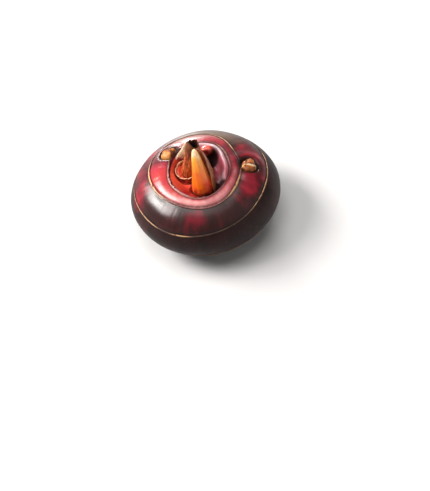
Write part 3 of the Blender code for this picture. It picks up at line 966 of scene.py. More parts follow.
def make_frill(name, dress, seed):
    """A torn ring of dry leaf that stands on one scar."""
    scar, height, _, _ = dress
    let_go()
    bpy.ops.mesh.primitive_circle_add(vertices=FRILL_SIDES, radius=CORM_RADIUS)
    frill = start(name)
    for _ in range(FRILL_ROWS):
        bpy.ops.mesh.extrude_region_move(TRANSFORM_OT_translate={"value": (0, 0, height)})
    bpy.ops.object.mode_set(mode="OBJECT")
    dry = []
    for vertex in frill.data.vertices:
        angle = math.atan2(vertex.co.y, vertex.co.x)
        row = round(vertex.co.z / height)
        latitude = scar_latitude(scar, angle)
        foot, facing = body_frame(latitude, angle)
        above, _ = body_frame(latitude + 1 * DEGREE, angle)
        uphill = (above - foot).normalized()
        share = frill_share(dress, angle, seed)
        rise = height * share * row / FRILL_ROWS
        wave = FRILL_WAVE * chance_round(angle, 30, seed + 3) * row * share
        root = foot + facing * (SCAR_RIDGE - FRILL_ROOT_SINK)
        outward = facing * (FRILL_OUTWARD * rise + wave)
        vertex.co = root + uphill * FRILL_UPHILL * rise + outward
        dry.append(share)
    paint(frill, "dry", dry)
    apply_modifier(frill, "SOLIDIFY", thickness=FRILL_THICKNESS, offset=0)
    set_down(frill, 60)
    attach(frill, BODY)
    report(frill)
    return frill


frills = []
for seed, (name, dress) in enumerate(SCAR_DRESS.items()):
    frill = make_frill(f"{name}_frill", dress, seed + 1)
    frills.append(frill)

# %% [markdown]
# A full frill is straw-coloured, and a worn one is a dark hairline. The innermost one is
# younger and still wet, so it is mauve-grey and shines, and it is dark where it is worn away.
# The painted fullness, shifted a little by noise, is looked up in a ramp, which gives both ends
# and everything between them.

# %% Frill finishes
STRAW = (0.66, 0.38, 0.20)
DRY_BROWN = (0.085, 0.036, 0.020)

dry_frill = Finish("dry_frill", 0.5, Specular_IOR_Level=0.4)
blotches = dry_frill.noise(dry_frill.place(), 420, 3.0, 0.6)
dryness = dry_frill.math(
    "ADD", dry_frill.attribute("dry"), dry_frill.span(blotches, 0.3, 0.7, -0.3, 0.3)
)
dry_frill.colour(
    dry_frill.ramp(
        dryness, ((0.15, DRY_BROWN), (0.50, (0.34, 0.17, 0.080)), (0.80, STRAW), (1.0, STRAW))
    )
)
dry_frill.on(*frills[1:])

wet_frill = Finish("wet_frill", 0.28, Coat_Weight=0.4, Coat_Roughness=0.1)
blotches = wet_frill.noise(wet_frill.place(), 500, 3.0, 0.6)
worn_away = wet_frill.span(wet_frill.attribute("dry"), 0.15, 0.75, -0.36, 0.0)
blotches = wet_frill.math("ADD", blotches, worn_away)
wet_frill.colour(
    wet_frill.ramp(
        blotches,
        (
            (0.26, (0.020, 0.007, 0.009)),
            (0.36, (0.070, 0.025, 0.032)),
            (0.50, (0.25, 0.13, 0.14)),
            (0.68, (0.46, 0.32, 0.32)),
        ),
    )
)
wet_frill.on(frills[0])

# %% [markdown]
# ## Growing a stalk
# Shoots and sheaths are all grown in the same way: a circle is the foot, and it is extruded
# from station to station while it is widened or narrowed. A curve with a thickness would do
# for a round stem, but these are flattened, and a station can be widened each way on its own.
# A row that turns back down inside makes a hollow sheath. Subdivision then rounds it.

# %% Grow a stalk
def stalk(name, rows, sides=16, levels=2):
    """A closed stalk through rows of x, y, z, half width and half depth in mm."""
    x, y, z, half_width, half_depth = rows[0]
    let_go()
    bpy.ops.mesh.primitive_circle_add(vertices=sides, radius=MM, location=(x * MM, y * MM, z * MM))
    piece = start(name)
    bpy.ops.transform.resize(
        value=(half_width, half_depth, 1), center_override=(x * MM, y * MM, z * MM)
    )
    for before, after in zip(rows, rows[1:]):
        step = [(b - a) * MM for a, b in zip(before[:3], after[:3])]
        bpy.ops.mesh.extrude_region_move(TRANSFORM_OT_translate={"value": step})
        widen = (after[3] / before[3], after[4] / before[4], 1)
        centre = tuple(value * MM for value in after[:3])
        bpy.ops.transform.resize(value=widen, center_override=centre)
    bpy.ops.mesh.select_all(action="SELECT")
    bpy.ops.mesh.fill_holes(sides=0)
    close_up()
    bpy.ops.object.transform_apply(location=True, rotation=True, scale=True)
    refine(piece, levels)
    return piece


def middle_at(rows, height):
    """The stalk's middle and half sizes at a height, read between its stations."""
    for lower, upper in zip(rows, rows[1:]):
        if lower[2] <= height <= upper[2]:
            share = (height - lower[2]) / (upper[2] - lower[2])
            return [a + (b - a) * share for a, b in zip(lower, upper)]
    return rows[0] if height < rows[0][2] else rows[-1]


def ridges(piece, rows, depth, count, seed):
    """Presses fine lengthwise ridges into a stalk."""
    for vertex in piece.data.vertices:
        x, y = middle_at(rows, vertex.co.z / MM)[:2]
        angle = math.atan2(vertex.co.y / MM - y, vertex.co.x / MM - x)
        wave = chance_round(angle + 0.02 * vertex.co.z / MM, count, seed)
        wave += 0.5 * chance_round(angle, 2.3 * count, seed + 1)
        vertex.co += level_way(angle) * depth * wave


# %% [markdown]
# ## The front shoot
# The pointed shoot is the brightest thing on the corm: cream at its tip, amber in the middle
# and orange-red at its foot. It is broad and flattened below, leans back a little and ends in
# a blunt point. A fold runs up its right front, and a low hem stands out round its foot. Both
# are raised on the finished stalk, where they are easier to place than between its stations.

# %% Front shoot
SHOOT_ROWS = (
    (-0.4, -4.6, 14.6, 2.3, 1.6),
    (-0.4, -4.5, 16.6, 2.9, 2.0),
    (-0.45, -4.1, 18.4, 3.0, 2.15),
    (-0.5, -3.4, 20.4, 2.45, 1.9),
    (-0.55, -2.4, 23.0, 1.9, 1.5),
    (-0.65, -1.5, 26.0, 1.4, 1.15),
    (-0.75, -0.95, 28.4, 0.85, 0.7),
    (-0.8, -0.75, 29.45, 0.4, 0.3),
)
SHOOT_FOOT, SHOOT_TIP, SHOOT_LENGTH = 16.4, 29.4, 13.0
HEM_HEIGHT = 17.6
FOLD_STAND_OFF = 0.16
HEM_STAND_OFF = 0.13

front_shoot = stalk("front_shoot_grown", SHOOT_ROWS, 16, 3)
ridges(front_shoot, SHOOT_ROWS, 0.05 * MM, 4, 11)

climb, browner_shaded_right = [], []
for vertex in front_shoot.data.vertices:
    x, y, _, half_width, half_depth = middle_at(SHOOT_ROWS, vertex.co.z / MM)
    height = vertex.co.z / MM
    angle = math.atan2((vertex.co.y / MM - y) / half_depth, (vertex.co.x / MM - x) / half_width)
    fold = hump(turn_between(angle, (-52 + 1.5 * (height - 18)) * DEGREE), 22 * DEGREE)
    hem = hump(height - HEM_HEIGHT, 0.9) * (0.6 + 0.5 * chance_round(angle, 3, 12))
    taper = 1 - smooth(height, 25, 29)
    lift = FOLD_STAND_OFF * fold * taper + HEM_STAND_OFF * hem
    vertex.co += level_way(angle) * lift * MM
    steady = 0.65 * (height - SHOOT_FOOT) / SHOOT_LENGTH
    climb.append(smooth(height, SHOOT_FOOT, SHOOT_TIP) * 0.35 + steady)
    # The browner right side is partly painted shade, on the side away from the light.
    browner_shaded_right.append(smooth(math.cos(angle + 18 * DEGREE), 0.05, 0.95))
paint(front_shoot, "climb", climb)
paint(front_shoot, "browner_shaded_right", browner_shaded_right)

set_down(front_shoot, 70)
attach(front_shoot, BODY)
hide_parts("front_shoot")
report(front_shoot)

# %% [markdown]
# Its colour climbs with height, so a painted height is looked up in a ramp. Its right side is
# browner and its right foot is red, partly its own colour and partly painted shade on the side
# away from the light, and a second painted value mixes this in. Fibres are noise drawn out
# along the shoot, and a little light passes into it.

# %% Front shoot finish
shoot_finish = Finish(
    "amber_shoot",
    0.34,
    Specular_IOR_Level=0.35,
    Coat_Weight=0.20,
    Coat_Roughness=0.12,
    Subsurface_Weight=0.5,
    Subsurface_Scale=2.2 * MM,
)
shoot_finish.shader.inputs["Subsurface Radius"].default_value = (1.0, 0.35, 0.12)
fibres = shoot_finish.noise(shoot_finish.place((1, 1, 0.09)), 2600, 3.0, 0.6)
clouds = shoot_finish.noise(shoot_finish.place((1, 1, 0.55)), 430, 3.0, 0.6)
climb = shoot_finish.math(
    "ADD", shoot_finish.attribute("climb"), shoot_finish.span(clouds, 0.3, 0.7, -0.11, 0.11)
)
amber = shoot_finish.ramp(
    climb,
    (
        (0.06, (0.30, 0.020, 0.010)),
        (0.13, (0.66, 0.085, 0.018)),
        (0.24, (0.94, 0.190, 0.010)),
        (0.48, (0.86, 0.150, 0.006)),
        (0.70, (0.92, 0.320, 0.016)),
        (0.88, (0.94, 0.500, 0.060)),
        (1.0, (0.92, 0.76, 0.500)),
    ),
)
brown_and_shaded_side = shoot_finish.ramp(
    climb,
    (
        (0.06, (0.40, 0.022, 0.020)),
        (0.18, (0.92, 0.080, 0.050)),
        (0.40, (0.98, 0.260, 0.080)),
        (0.80, (0.90, 0.38, 0.090)),
        (1.0, (0.90, 0.66, 0.380)),
    ),
)
# Browner red on the right side: partly its own colour, partly painted shade.
amber = shoot_finish.mix(
    shoot_finish.math("MULTIPLY", shoot_finish.attribute("browner_shaded_right"), 0.85), amber, brown_and_shaded_side
)
fibre_lines = shoot_finish.span(fibres, 0.50, 0.74, 0.0, 0.30)
amber = shoot_finish.mix(fibre_lines, amber, (0.58, 0.17, 0.02))
shoot_finish.colour(amber)
shoot_finish.normal(shoot_finish.bump(fibres, 0.04 * MM, 0.4))
shoot_finish.on(front_shoot)

# %% [markdown]
# ## The broken shoot and its cup
# Behind it stands an older shoot that has broken off. Only its sheath is left, a dark fibrous
# tube with a torn mouth, and a low ring of older sheath round its foot. The mouth could be cut
# with a jagged tool, but that leaves a poor mesh round the cut. The points near the mouth are
# pulled up and pushed down instead, and the wall keeps its shape below.

# %% Rear sheath
SHEATH_ROWS = (
    (-3.8, 1.8, 14.8, 1.5, 1.5),
    (-3.75, 1.8, 17.0, 1.75, 1.7),
    (-3.4, 1.85, 18.9, 1.9, 1.8),
    (-2.5, 2.15, 20.8, 2.0, 1.85),
    (-1.8, 2.5, 22.6, 2.0, 1.8),
    (-1.35, 3.0, 24.8, 1.95, 1.8),
    (-1.05, 3.45, 26.2, 1.95, 1.8),
    (-0.75, 3.65, 27.1, 1.6, 1.55),
)
SHEATH_WALL = 0.42


def inside_of(rows, wall):
    """The rows of a stalk's inner side, from its mouth back down."""
    return [(x, y, z, w - wall, d - wall) for x, y, z, w, d in reversed(rows)]


def tear_mouth(piece, rows, wall, reach, height, seed, low_at=None, high_at=None):
    """Tears the edge of a hollow stalk, paints how near the edge it is, and paints shade inside."""
    top = rows[-1][2]
    edge, inside = [], []
    for vertex in piece.data.vertices:
        z = vertex.co.z / MM
        near = smooth(z, top - reach, top)
        mid_x, mid_y, _, half_width, _ = middle_at(rows, z)
        away = Vector((vertex.co.x / MM - mid_x, vertex.co.y / MM - mid_y, 0))
        angle = math.atan2(away.y, away.x)
        # Below the mouth the inside of the wall gets painted shade, darker further down.
        depth = 1 - smooth(away.length, half_width - 0.8 * wall, half_width - 0.3 * wall)
        inside.append(depth * (1 - 0.75 * smooth(z, top - 1.1, top)))
        edge.append(near)
        shred = 0.55 * chance_round(angle, 1.8, seed) + 0.25 * chance_round(angle, 6, seed + 1)
        shred -= 0.55 * smooth(chance_round(angle, 3.6, seed + 2), 0.12, 0.4)
        if low_at is not None:
            shred -= 1.3 * hump(turn_between(angle, low_at * DEGREE), 80 * DEGREE)
            shred += 1.1 * hump(turn_between(angle, high_at * DEGREE), 85 * DEGREE)
        vertex.co.z += near * height * shred * MM
    paint(piece, "edge", edge)
    paint(piece, "inside", inside)


rear_sheath = stalk(
    "rear_sheath_grown", list(SHEATH_ROWS) + inside_of(SHEATH_ROWS[3:], SHEATH_WALL), 20, 3
)
tear_mouth(rear_sheath, SHEATH_ROWS, SHEATH_WALL, 2.6, 1.0, 21, low_at=-38, high_at=218)
ridges(rear_sheath, SHEATH_ROWS, 0.09 * MM, 5, 23)
set_down(rear_sheath, 50)
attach(rear_sheath, BODY)
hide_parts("rear_sheath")
report(rear_sheath)

# %% [markdown]
# The cup is what is left of an older sheath: a low, wide ring that opens upward round the foot
# of the broken shoot. It is grown and torn in the same way, with a shallower tear.

# %% Sheath cup
CUP_ROWS = (
    (-3.6, 2.0, 15.6, 3.0, 3.0),
    (-3.6, 2.0, 17.4, 3.1, 3.1),
    (-3.6, 2.0, 18.3, 3.25, 3.25),
    (-3.6, 2.0, 19.1, 3.5, 3.5),
)
CUP_WALL = 0.5

sheath_cup = stalk("sheath_cup_grown", list(CUP_ROWS) + inside_of(CUP_ROWS, CUP_WALL), 24, 3)
tear_mouth(sheath_cup, CUP_ROWS, CUP_WALL, 0.8, 0.5, 27)
ridges(sheath_cup, CUP_ROWS, 0.06 * MM, 5, 29)
set_down(sheath_cup, 50)
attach(sheath_cup, BODY)
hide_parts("sheath_cup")
report(sheath_cup)

# %% [markdown]
# ## Scale leaves
# A scale leaf is a thin blade that curls round what it covered. It could be cut out of a
# stalk's wall, but then its edges would be stepped. So it starts as a flat grid, and each row
# of the grid is wrapped round its own station. The blade's edges are torn by moving its outer
# points in, how near a point is to the edge is painted on it, and the wall comes last. On the
# torn scale the outer side is painted too, for it is drier than the inner one.

# %% Scale leaves
BLADE_ACROSS = 44
BLADE_UP = 72


def along(rows, share):
    """Values a share of the way through rows, with soft joints."""
    at = share * (len(rows) - 1)
    low = min(len(rows) - 2, int(at))
    part = at - low
    before = rows[max(0, low - 1)]
    after = rows[min(len(rows) - 1, low + 2)]
    values = []
    for p0, p1, p2, p3 in zip(before, rows[low], rows[low + 1], after):
        curve = 2 * p1 + (p2 - p0) * part + (2 * p0 - 5 * p1 + 4 * p2 - p3) * part**2
        values.append(0.5 * (curve + (3 * p1 - p0 - 3 * p2 + p3) * part**3))
    return values


def both_edges(across, up):
    return max(smooth(abs(across), 0.62, 0.98), smooth(up, 0.86, 1.0))


def make_blade(name, rows, spread_of, thickness, tear, seed, edge_at=both_edges, pucker=0.06):
    """rows hold x, y, z, radius across, radius deep in mm, and the share of the spread."""
    let_go()
    bpy.ops.mesh.primitive_grid_add(x_subdivisions=BLADE_ACROSS, y_subdivisions=BLADE_UP, size=2)
    blade = start(name)
    bpy.ops.object.mode_set(mode="OBJECT")
    middle, half = (spread_of[0] + spread_of[1]) / 2, (spread_of[1] - spread_of[0]) / 2
    edge = []
    for vertex in blade.data.vertices:
        across, up = vertex.co.x, 0.5 + 0.5 * vertex.co.y
        edge.append(edge_at(across, up))
        ragged = 0.6 * chance(across * 3.1, 0, 0, seed) + 0.4 * chance(across * 11, 0, 0, seed + 1)
        up *= 1 - tear * (0.5 + ragged) * smooth(up, 0.4, 1.0)
        side_chance = chance(up * 9, across * 0.4, 0, seed + 2)
        side_tear = 1 - 0.5 * tear * (0.4 + side_chance) * smooth(up, 0.3, 0.8)
        x, y, z, wide, deep, reach = along(rows, up)
        angle = middle + half * max(0.05, reach) * across * side_tear
        swell = 1 + pucker * chance(across * 2.5, up * 5, 0, seed + 3)
        out = Vector((wide * swell * math.cos(angle), deep * swell * math.sin(angle), 0))
        vertex.co = (Vector((x, y, z)) + out) * MM
    paint(blade, "edge", edge)
    apply_modifier(blade, "SOLIDIFY", thickness=thickness, offset=0)
    set_down(blade, 50)
    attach(blade, BODY)
    return blade


CLASPING_SPREAD = (-40 * DEGREE, 112 * DEGREE)
CLASPING_GAP = (0.55, 0.60, 1.15, 1.45, 1.25, 0.90)
CLASPING_REACH = (1.0, 1.0, 1.0, 0.95, 0.80, 0.40)
clasping_rows = []
for (x, y, z, w, d), gap, reach in zip(SHOOT_ROWS[1:-1], CLASPING_GAP, CLASPING_REACH):
    clasping_rows.append((x, y, z, w + gap, d + 0.6 * gap + 0.2, reach))
shoot_scale = make_blade(
    "shoot_scale_grown", clasping_rows, CLASPING_SPREAD, 0.24 * MM, 0.10, 31, pucker=0.03
)
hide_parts("shoot_scale")
report(shoot_scale)

TORN_SCALE_SPREAD = (76 * DEGREE, 130 * DEGREE)
TORN_SCALE_ROWS = (
    (-3.6, 2.0, 16.0, 4.1, 4.1, 1.0),
    (-3.5, 2.0, 18.2, 4.4, 4.4, 1.0),
    (-3.1, 2.2, 20.4, 4.3, 4.3, 1.0),
    (-2.5, 2.4, 22.4, 3.75, 3.75, 1.0),
    (-1.85, 2.7, 24.2, 3.05, 3.05, 0.95),
    (-1.4, 3.1, 26.0, 2.5, 2.5, 0.80),
)


def left_and_top(across, up):
    """The torn edge is at its left and along its top."""
    return max(smooth(across, -0.7, 0.0), smooth(up, 0.78, 0.95))


torn_scale = make_blade(
    "torn_scale_grown", TORN_SCALE_ROWS, TORN_SCALE_SPREAD, 0.30 * MM, 0.10, 37, left_and_top
)
outer_side = []
for vertex in torn_scale.data.vertices:
    x, y = middle_at(TORN_SCALE_ROWS, vertex.co.z / MM)[:2]
    away = vertex.co.xy / MM - Vector((x, y))
    outer_side.append(1.0 if vertex.normal.xy.dot(away) > 0 else 0.0)
paint(torn_scale, "outer", outer_side)
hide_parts("torn_scale")
report(torn_scale)

# %% [markdown]
# ## Dry brown and torn cream
# These finishes are fibres: noise that is stretched lengthwise makes dark and light threads,
# and the same threads raise the bump. The broken sheath is drier and darker towards its top,
# and painted shade makes it nearly black inside. The cup is wet and shines. The torn scale is
# cream on its inner side, palest along its torn edge, and dry tan outside.

# %% Sheath and scale finishes
def fibrous(finish, dark, middle, light, pale, long=0.08, size=2400):
    """Threads along the piece, from dark to pale, for colour and bump."""
    threads = finish.noise(finish.place((1, 1, long)), size, 4.0, 0.65)
    stains = finish.noise(finish.place((1, 1, 0.4)), 480, 3.0, 0.6)
    worn = finish.math("ADD", threads, finish.span(stains, 0.3, 0.7, -0.14, 0.14))
    colour = finish.ramp(worn, ((0.28, dark), (0.46, middle), (0.60, light), (0.80, pale)))
    return threads, colour


sheath_finish = Finish("rear_sheath_brown", 0.5, Specular_IOR_Level=0.3)
threads, colour = fibrous(
    sheath_finish,
    (0.090, 0.013, 0.005),
    (0.380, 0.066, 0.016),
    (0.600, 0.150, 0.036),
    (0.66, 0.27, 0.10),
)
sheath_place = sheath_finish.node("ShaderNodeSeparateXYZ")
sheath_finish.wire(sheath_finish.place(), sheath_place.inputs[0])
drier = sheath_finish.span(sheath_place.outputs["Z"], 23 * MM, 26.5 * MM)
dry_colour = sheath_finish.mix(1.0, colour, (0.34, 0.44, 0.62), "MULTIPLY")
colour = sheath_finish.mix(drier, colour, dry_colour)
# Painted shade makes the inside nearly black.
colour = sheath_finish.mix(sheath_finish.attribute("inside"), colour, (0.014, 0.008, 0.007))
sheath_finish.colour(colour)
sheath_finish.normal(sheath_finish.bump(threads, 0.12 * MM, 0.7))
sheath_finish.on(rear_sheath)

cup_finish = Finish("sheath_cup_brown", 0.26, Coat_Weight=0.9, Coat_Roughness=0.06)
threads, colour = fibrous(
    cup_finish,
    (0.110, 0.012, 0.010),
    (0.300, 0.040, 0.024),
    (0.460, 0.110, 0.060),
    (0.60, 0.26, 0.15),
    long=0.3,
    size=1500,
)
worn_edge = cup_finish.span(cup_finish.attribute("edge"), 0.55, 0.95)
cup_finish.colour(cup_finish.mix(worn_edge, colour, (0.62, 0.31, 0.16)))
cup_finish.normal(cup_finish.bump(threads, 0.10 * MM, 0.6))
cup_finish.on(sheath_cup)

scale_finish = Finish("shoot_scale_brown", 0.46, Coat_Weight=0.1, Coat_Roughness=0.2)
threads, colour = fibrous(
    scale_finish,
    (0.070, 0.012, 0.004),
    (0.210, 0.045, 0.013),
    (0.340, 0.095, 0.028),
    (0.50, 0.22, 0.08),
)
dry_edge = scale_finish.math("MULTIPLY", scale_finish.attribute("edge"), 0.45)
scale_finish.colour(scale_finish.mix(dry_edge, colour, (0.40, 0.19, 0.09)))
scale_finish.normal(scale_finish.bump(threads, 0.10 * MM, 0.6))
scale_finish.on(shoot_scale)

cream_finish = Finish("torn_cream", 0.48, Subsurface_Weight=0.6, Subsurface_Scale=0.8 * MM)
cream_finish.shader.inputs["Subsurface Radius"].default_value = (1.0, 0.8, 0.6)
threads = cream_finish.noise(cream_finish.place((1, 1, 0.08)), 2300, 4.0, 0.65)
cream_place = cream_finish.node("ShaderNodeSeparateXYZ")
cream_finish.wire(cream_finish.place(), cream_place.inputs[0])
pale = cream_finish.span(cream_place.outputs["Z"], 18.5 * MM, 22.0 * MM, -0.26, 0.0)
pale = cream_finish.math("ADD", threads, pale)
pale = cream_finish.math(
    "ADD", pale, cream_finish.span(cream_finish.attribute("edge"), 0.0, 0.8, -0.08, 0.32)
)
cream = cream_finish.ramp(
    pale,
    (
        (0.26, (0.26, 0.075, 0.035)),
        (0.40, (0.50, 0.230, 0.110)),
        (0.52, (0.93, 0.75, 0.560)),
        (0.66, (0.98, 0.90, 0.760)),
    ),
)
dry_outside = cream_finish.mix(threads, (0.20, 0.085, 0.040), (0.42, 0.240, 0.130))
fresh_edge = cream_finish.span(cream_finish.attribute("edge"), 0.6, 1.0, 0.95, 0.85)
outside = cream_finish.math("MULTIPLY", cream_finish.attribute("outer"), fresh_edge)
cream_finish.colour(cream_finish.mix(outside, cream, dry_outside))
cream_finish.normal(cream_finish.bump(threads, 0.10 * MM, 0.6))
cream_finish.on(torn_scale)

# %% [markdown]
# ## The red bud
# A small glossy bud leans out over the recess at the back right. It is a stalk like the
# others, round and fat, with one seam where its outer scale wraps over. The seam is a step that
# is soft on one side and sharp on the other, which is all that shows of the scale's edge. Its
# finish is wet and deep red, with paler flecks.

# %% Red bud
RED_BUD_ROWS = (
    (2.9, 7.6, 16.6, 0.9, 0.8),
    (2.95, 7.4, 17.8, 1.6, 1.15),
    (2.95, 7.1, 19.2, 2.1, 1.4),
    (2.7, 6.5, 20.6, 1.9, 1.3),
    (2.3, 6.0, 21.5, 1.1, 0.7),
)
red_bud = stalk("red_bud_grown", RED_BUD_ROWS, 12, 3)
for vertex in red_bud.data.vertices:
    x, y = middle_at(RED_BUD_ROWS, vertex.co.z / MM)[:2]
    angle = math.atan2(vertex.co.y / MM - y, vertex.co.x / MM - x)
    seam = turn_between(angle, -110 * DEGREE + 0.35 * (vertex.co.z / MM - 19))
    step = 0.16 * smooth(seam, -0.06, 0.06) * (1 - smooth(seam, 0.1, 2.2))
    vertex.co += level_way(angle) * step * MM
set_down(red_bud, 60)
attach(red_bud, BODY)
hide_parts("red_bud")
report(red_bud)

bud_finish = Finish("bud_red", 0.22, Coat_Weight=0.6, Coat_Roughness=0.06)
shades = bud_finish.noise(bud_finish.place((1, 1, 0.3)), 900, 3.0, 0.6)
bud_finish.colour(
    bud_finish.ramp(
        shades,
        (
            (0.28, (0.26, 0.016, 0.014)),
            (0.48, (0.60, 0.075, 0.055)),
            (0.70, (0.72, 0.24, 0.17)),
        ),
    )
)
bud_finish.normal(bud_finish.bump(shades, 0.05 * MM, 0.3))
bud_finish.on(red_bud)

# %% [markdown]
# ## The side buds
# Each side bud is a small cone of overlapping scales. Its core is a ball, flattened and drawn
# out to a beak. Every scale is a grid that is swept up from the bud's foot and over its top,
# with a rounded tip that stands off a little, so that the one below shows. One lump with
# grooves would be quicker, but the dark gaps under the tips are what makes it read as a bud.
# Each scale is given a tone for its foot and one for its edge.

# %% Side bud shapes
CORE_TONE = 0.32
SCALE_FOOT_TURN = 14
BUD_SCALE_THICKNESS = 0.12 * MM


def draw_beak(x, y, z, sizes):
    """Moves a point of a unit ball onto the bud, whose beak is its +X end."""
    half_length, half_width, half_height = sizes
    beak = smooth(x, -0.2, 1.0)
    up = z * half_height * (1 - 0.2 * beak) + 0.28 * beak * half_height
    return Vector((x * half_length, y * half_width * (1 - 0.42 * beak), up))


def bud_core(name, sizes):
    """The ball under a side bud's scales."""
    let_go()
    bpy.ops.mesh.primitive_uv_sphere_add(segments=40, ring_count=24, radius=1)
    core = start(name)
    bpy.ops.object.mode_set(mode="OBJECT")
    for vertex in core.data.vertices:
        vertex.co = draw_beak(*vertex.co, sizes) * MM
    paint(core, "tone", [CORE_TONE] * len(core.data.vertices))
    return core


def bud_scale(name, sizes, facts, seed):
    """facts: the way it grows from, how far over it reaches, its half width, lift and tones."""
    root_turn, reach, half_spread, lift, tone_foot, tone_edge = facts
    root = level_way(root_turn * DEGREE)
    side = Vector((-root.y, root.x, 0))
    let_go()
    bpy.ops.mesh.primitive_grid_add(x_subdivisions=30, y_subdivisions=34, size=2)
    scale = start(name)
    bpy.ops.object.mode_set(mode="OBJECT")
    tones = []
    for vertex in scale.data.vertices:
        across, up = vertex.co.x, 0.5 + 0.5 * vertex.co.y
        ragged = 0.06 * chance(across * 3, 0, 0, seed) + 0.03 * chance(across * 9, 0, 0, seed + 1)
        leaf = max(0.0, 1 - up**5) ** 0.5
        over = (reach + SCALE_FOOT_TURN) * up * (1 + ragged)
        turn = (-SCALE_FOOT_TURN + over) * DEGREE
        lean = half_spread * DEGREE * across * (0.16 + 0.84 * leaf)
        ball = math.cos(lean) * (math.cos(turn) * root + math.sin(turn) * Vector((0, 0, 1)))
        ball += math.sin(lean) * side
        margin = max(smooth(up, 0.78, 0.96), smooth(abs(across), 0.80, 1.0))
        stand_off = lift + 0.13 * smooth(up, 0.7, 1.0) + 0.05 * smooth(abs(across), 0.7, 1.0)
        stand_off += 0.06 * chance(across * 2, up * 3, 0, seed + 2)
        vertex.co = draw_beak(*(ball * (1 + stand_off)), sizes) * MM
        tones.append(tone_foot + (tone_edge - tone_foot) * margin)
    paint(scale, "tone", tones)
    apply_modifier(scale, "SOLIDIFY", thickness=BUD_SCALE_THICKNESS, offset=0)
    return scale


# %% [markdown]
# The left bud has three scales and the right one four. Each scale is written as the way it
# grows from, how far over the top it reaches, its half width, its lift and its two tones. The
# parts of a bud are joined, for they are grown together, and then set down in their pit.

# %% Fold the side buds
BUD_SIZES = (1.72, 1.42, 1.12)
BUD_SCALES = {
    "side_bud_left": (
        (20, 84, 62, 0.02, 0.58, 0.30),
        (105, 74, 56, 0.09, 0.46, 0.28),
        (205, 92, 60, 0.16, 0.64, 0.36),
    ),
    "side_bud_right": (
        (25, 108, 64, 0.05, 0.43, 0.24),
        (-75, 58, 46, 0.07, 0.44, 0.32),
        (100, 52, 46, 0.08, 0.42, 0.30),
        (190, 74, 68, 0.14, 0.38, 0.98),
    ),
}

side_buds = []
for seed, (name, (place, beak, size, width)) in enumerate(SIDE_BUDS.items()):
    sizes = (BUD_SIZES[0] * size, BUD_SIZES[1] * size * width, BUD_SIZES[2] * size)
    parts = [bud_core(f"{name}_grown", sizes)]
    for number, facts in enumerate(BUD_SCALES[name]):
        parts.append(bud_scale(f"{name}_scale_{number}", sizes, facts, 41 + 10 * seed + number))
    bud = join(parts, f"{name}_grown")
    bud.matrix_world = side_bud_matrix(place, beak)
    set_down(bud, 55)
    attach(bud, BODY)
    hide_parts(name)
    report(bud)
    side_buds.append(bud)

# %% [markdown]
# One ramp turns the painted tone into colour, from dark brown through orange to the cream of a
# dry edge. Noise shifts the tone first, in soft patches and in fine lines, and the lines raise
# the bump as well.

# %% Side bud finish
tan_finish = Finish("side_bud_tan", 0.46, Specular_IOR_Level=0.25)
patches = tan_finish.noise(tan_finish.place(), 700, 3.0, 0.6)
lines = tan_finish.noise(tan_finish.place((1, 0.3, 1)), 2600, 3.0, 0.6)
tone = tan_finish.math(
    "ADD", tan_finish.attribute("tone"), tan_finish.span(patches, 0.3, 0.7, -0.09, 0.09)
)
tone = tan_finish.math("ADD", tone, tan_finish.span(lines, 0.3, 0.7, -0.05, 0.05))
tan_finish.colour(
    tan_finish.ramp(
        tone,
        (
            (0.0, (0.020, 0.008, 0.005)),
            (0.22, (0.095, 0.030, 0.014)),
            (0.38, (0.27, 0.078, 0.020)),
            (0.54, (0.44, 0.125, 0.015)),
            (0.72, (0.60, 0.31, 0.110)),
            (1.0, (0.82, 0.62, 0.420)),
        ),
    )
)
tan_finish.normal(tan_finish.bump(lines, 0.08 * MM, 0.5))
tan_finish.on(*side_buds)

# %% [markdown]
# ## The withered base
# Under the corm is the scar of the stolon that fed it: a rough crumbly disc, with the stub of
# the stolon and of a few torn roots. It is a short stalk whose skin is broken up by noise, and
# the stubs are stalks too, joined to it. It is seldom seen, so the crumbs that are too fine to
# model are left to a strong bump, over a finish that doesn't shine at all.

# %% Stolon scar
STOLON_SCAR_ROWS = (
    (0.1, 0.1, 1.5, 1.0, 0.9),
    (0.1, 0.1, 1.45, 2.3, 2.1),
    (0.0, 0.1, 1.8, 3.1, 2.9),
    (0.1, 0.0, 3.0, 3.2, 3.1),
    (0.0, 0.0, 4.0, 2.4, 2.3),
)
STUB_ROWS = (
    (1.1, -0.8, 0.5, 0.85, 0.75),
    (1.0, -0.7, 1.3, 1.0, 0.95),
    (0.9, -0.6, 2.6, 1.1, 1.0),
)
ROOT_PLACES = ((-1.7, 0.9), (-0.9, -1.7), (0.4, 1.9))

stubs = [stalk("stolon_scar_grown", STOLON_SCAR_ROWS, 24, 3), stalk("stub", STUB_ROWS, 12, 2)]
for x, y in ROOT_PLACES:
    rows = ((1.1 * x, 1.1 * y, 0.65, 0.3, 0.36), (x, y, 1.2, 0.42, 0.42), (x, y, 2.6, 0.45, 0.45))
    stubs.append(stalk("root_stub", rows, 8, 2))
stolon_scar = join(stubs, "stolon_scar_grown")
for vertex in stolon_scar.data.vertices:
    x, y, z = vertex.co / MM
    crumb = 0.16 * chance(x * 1.7, y * 1.7, z * 1.7, 61) + 0.09 * chance(x * 5, y * 5, z * 5, 62)
    vertex.co += Vector((0.5 * crumb, 0.5 * crumb, -abs(crumb) if z > 1 else 0)) * MM
set_down(stolon_scar, 50)
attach(stolon_scar, BODY)
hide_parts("stolon_scar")
report(stolon_scar)

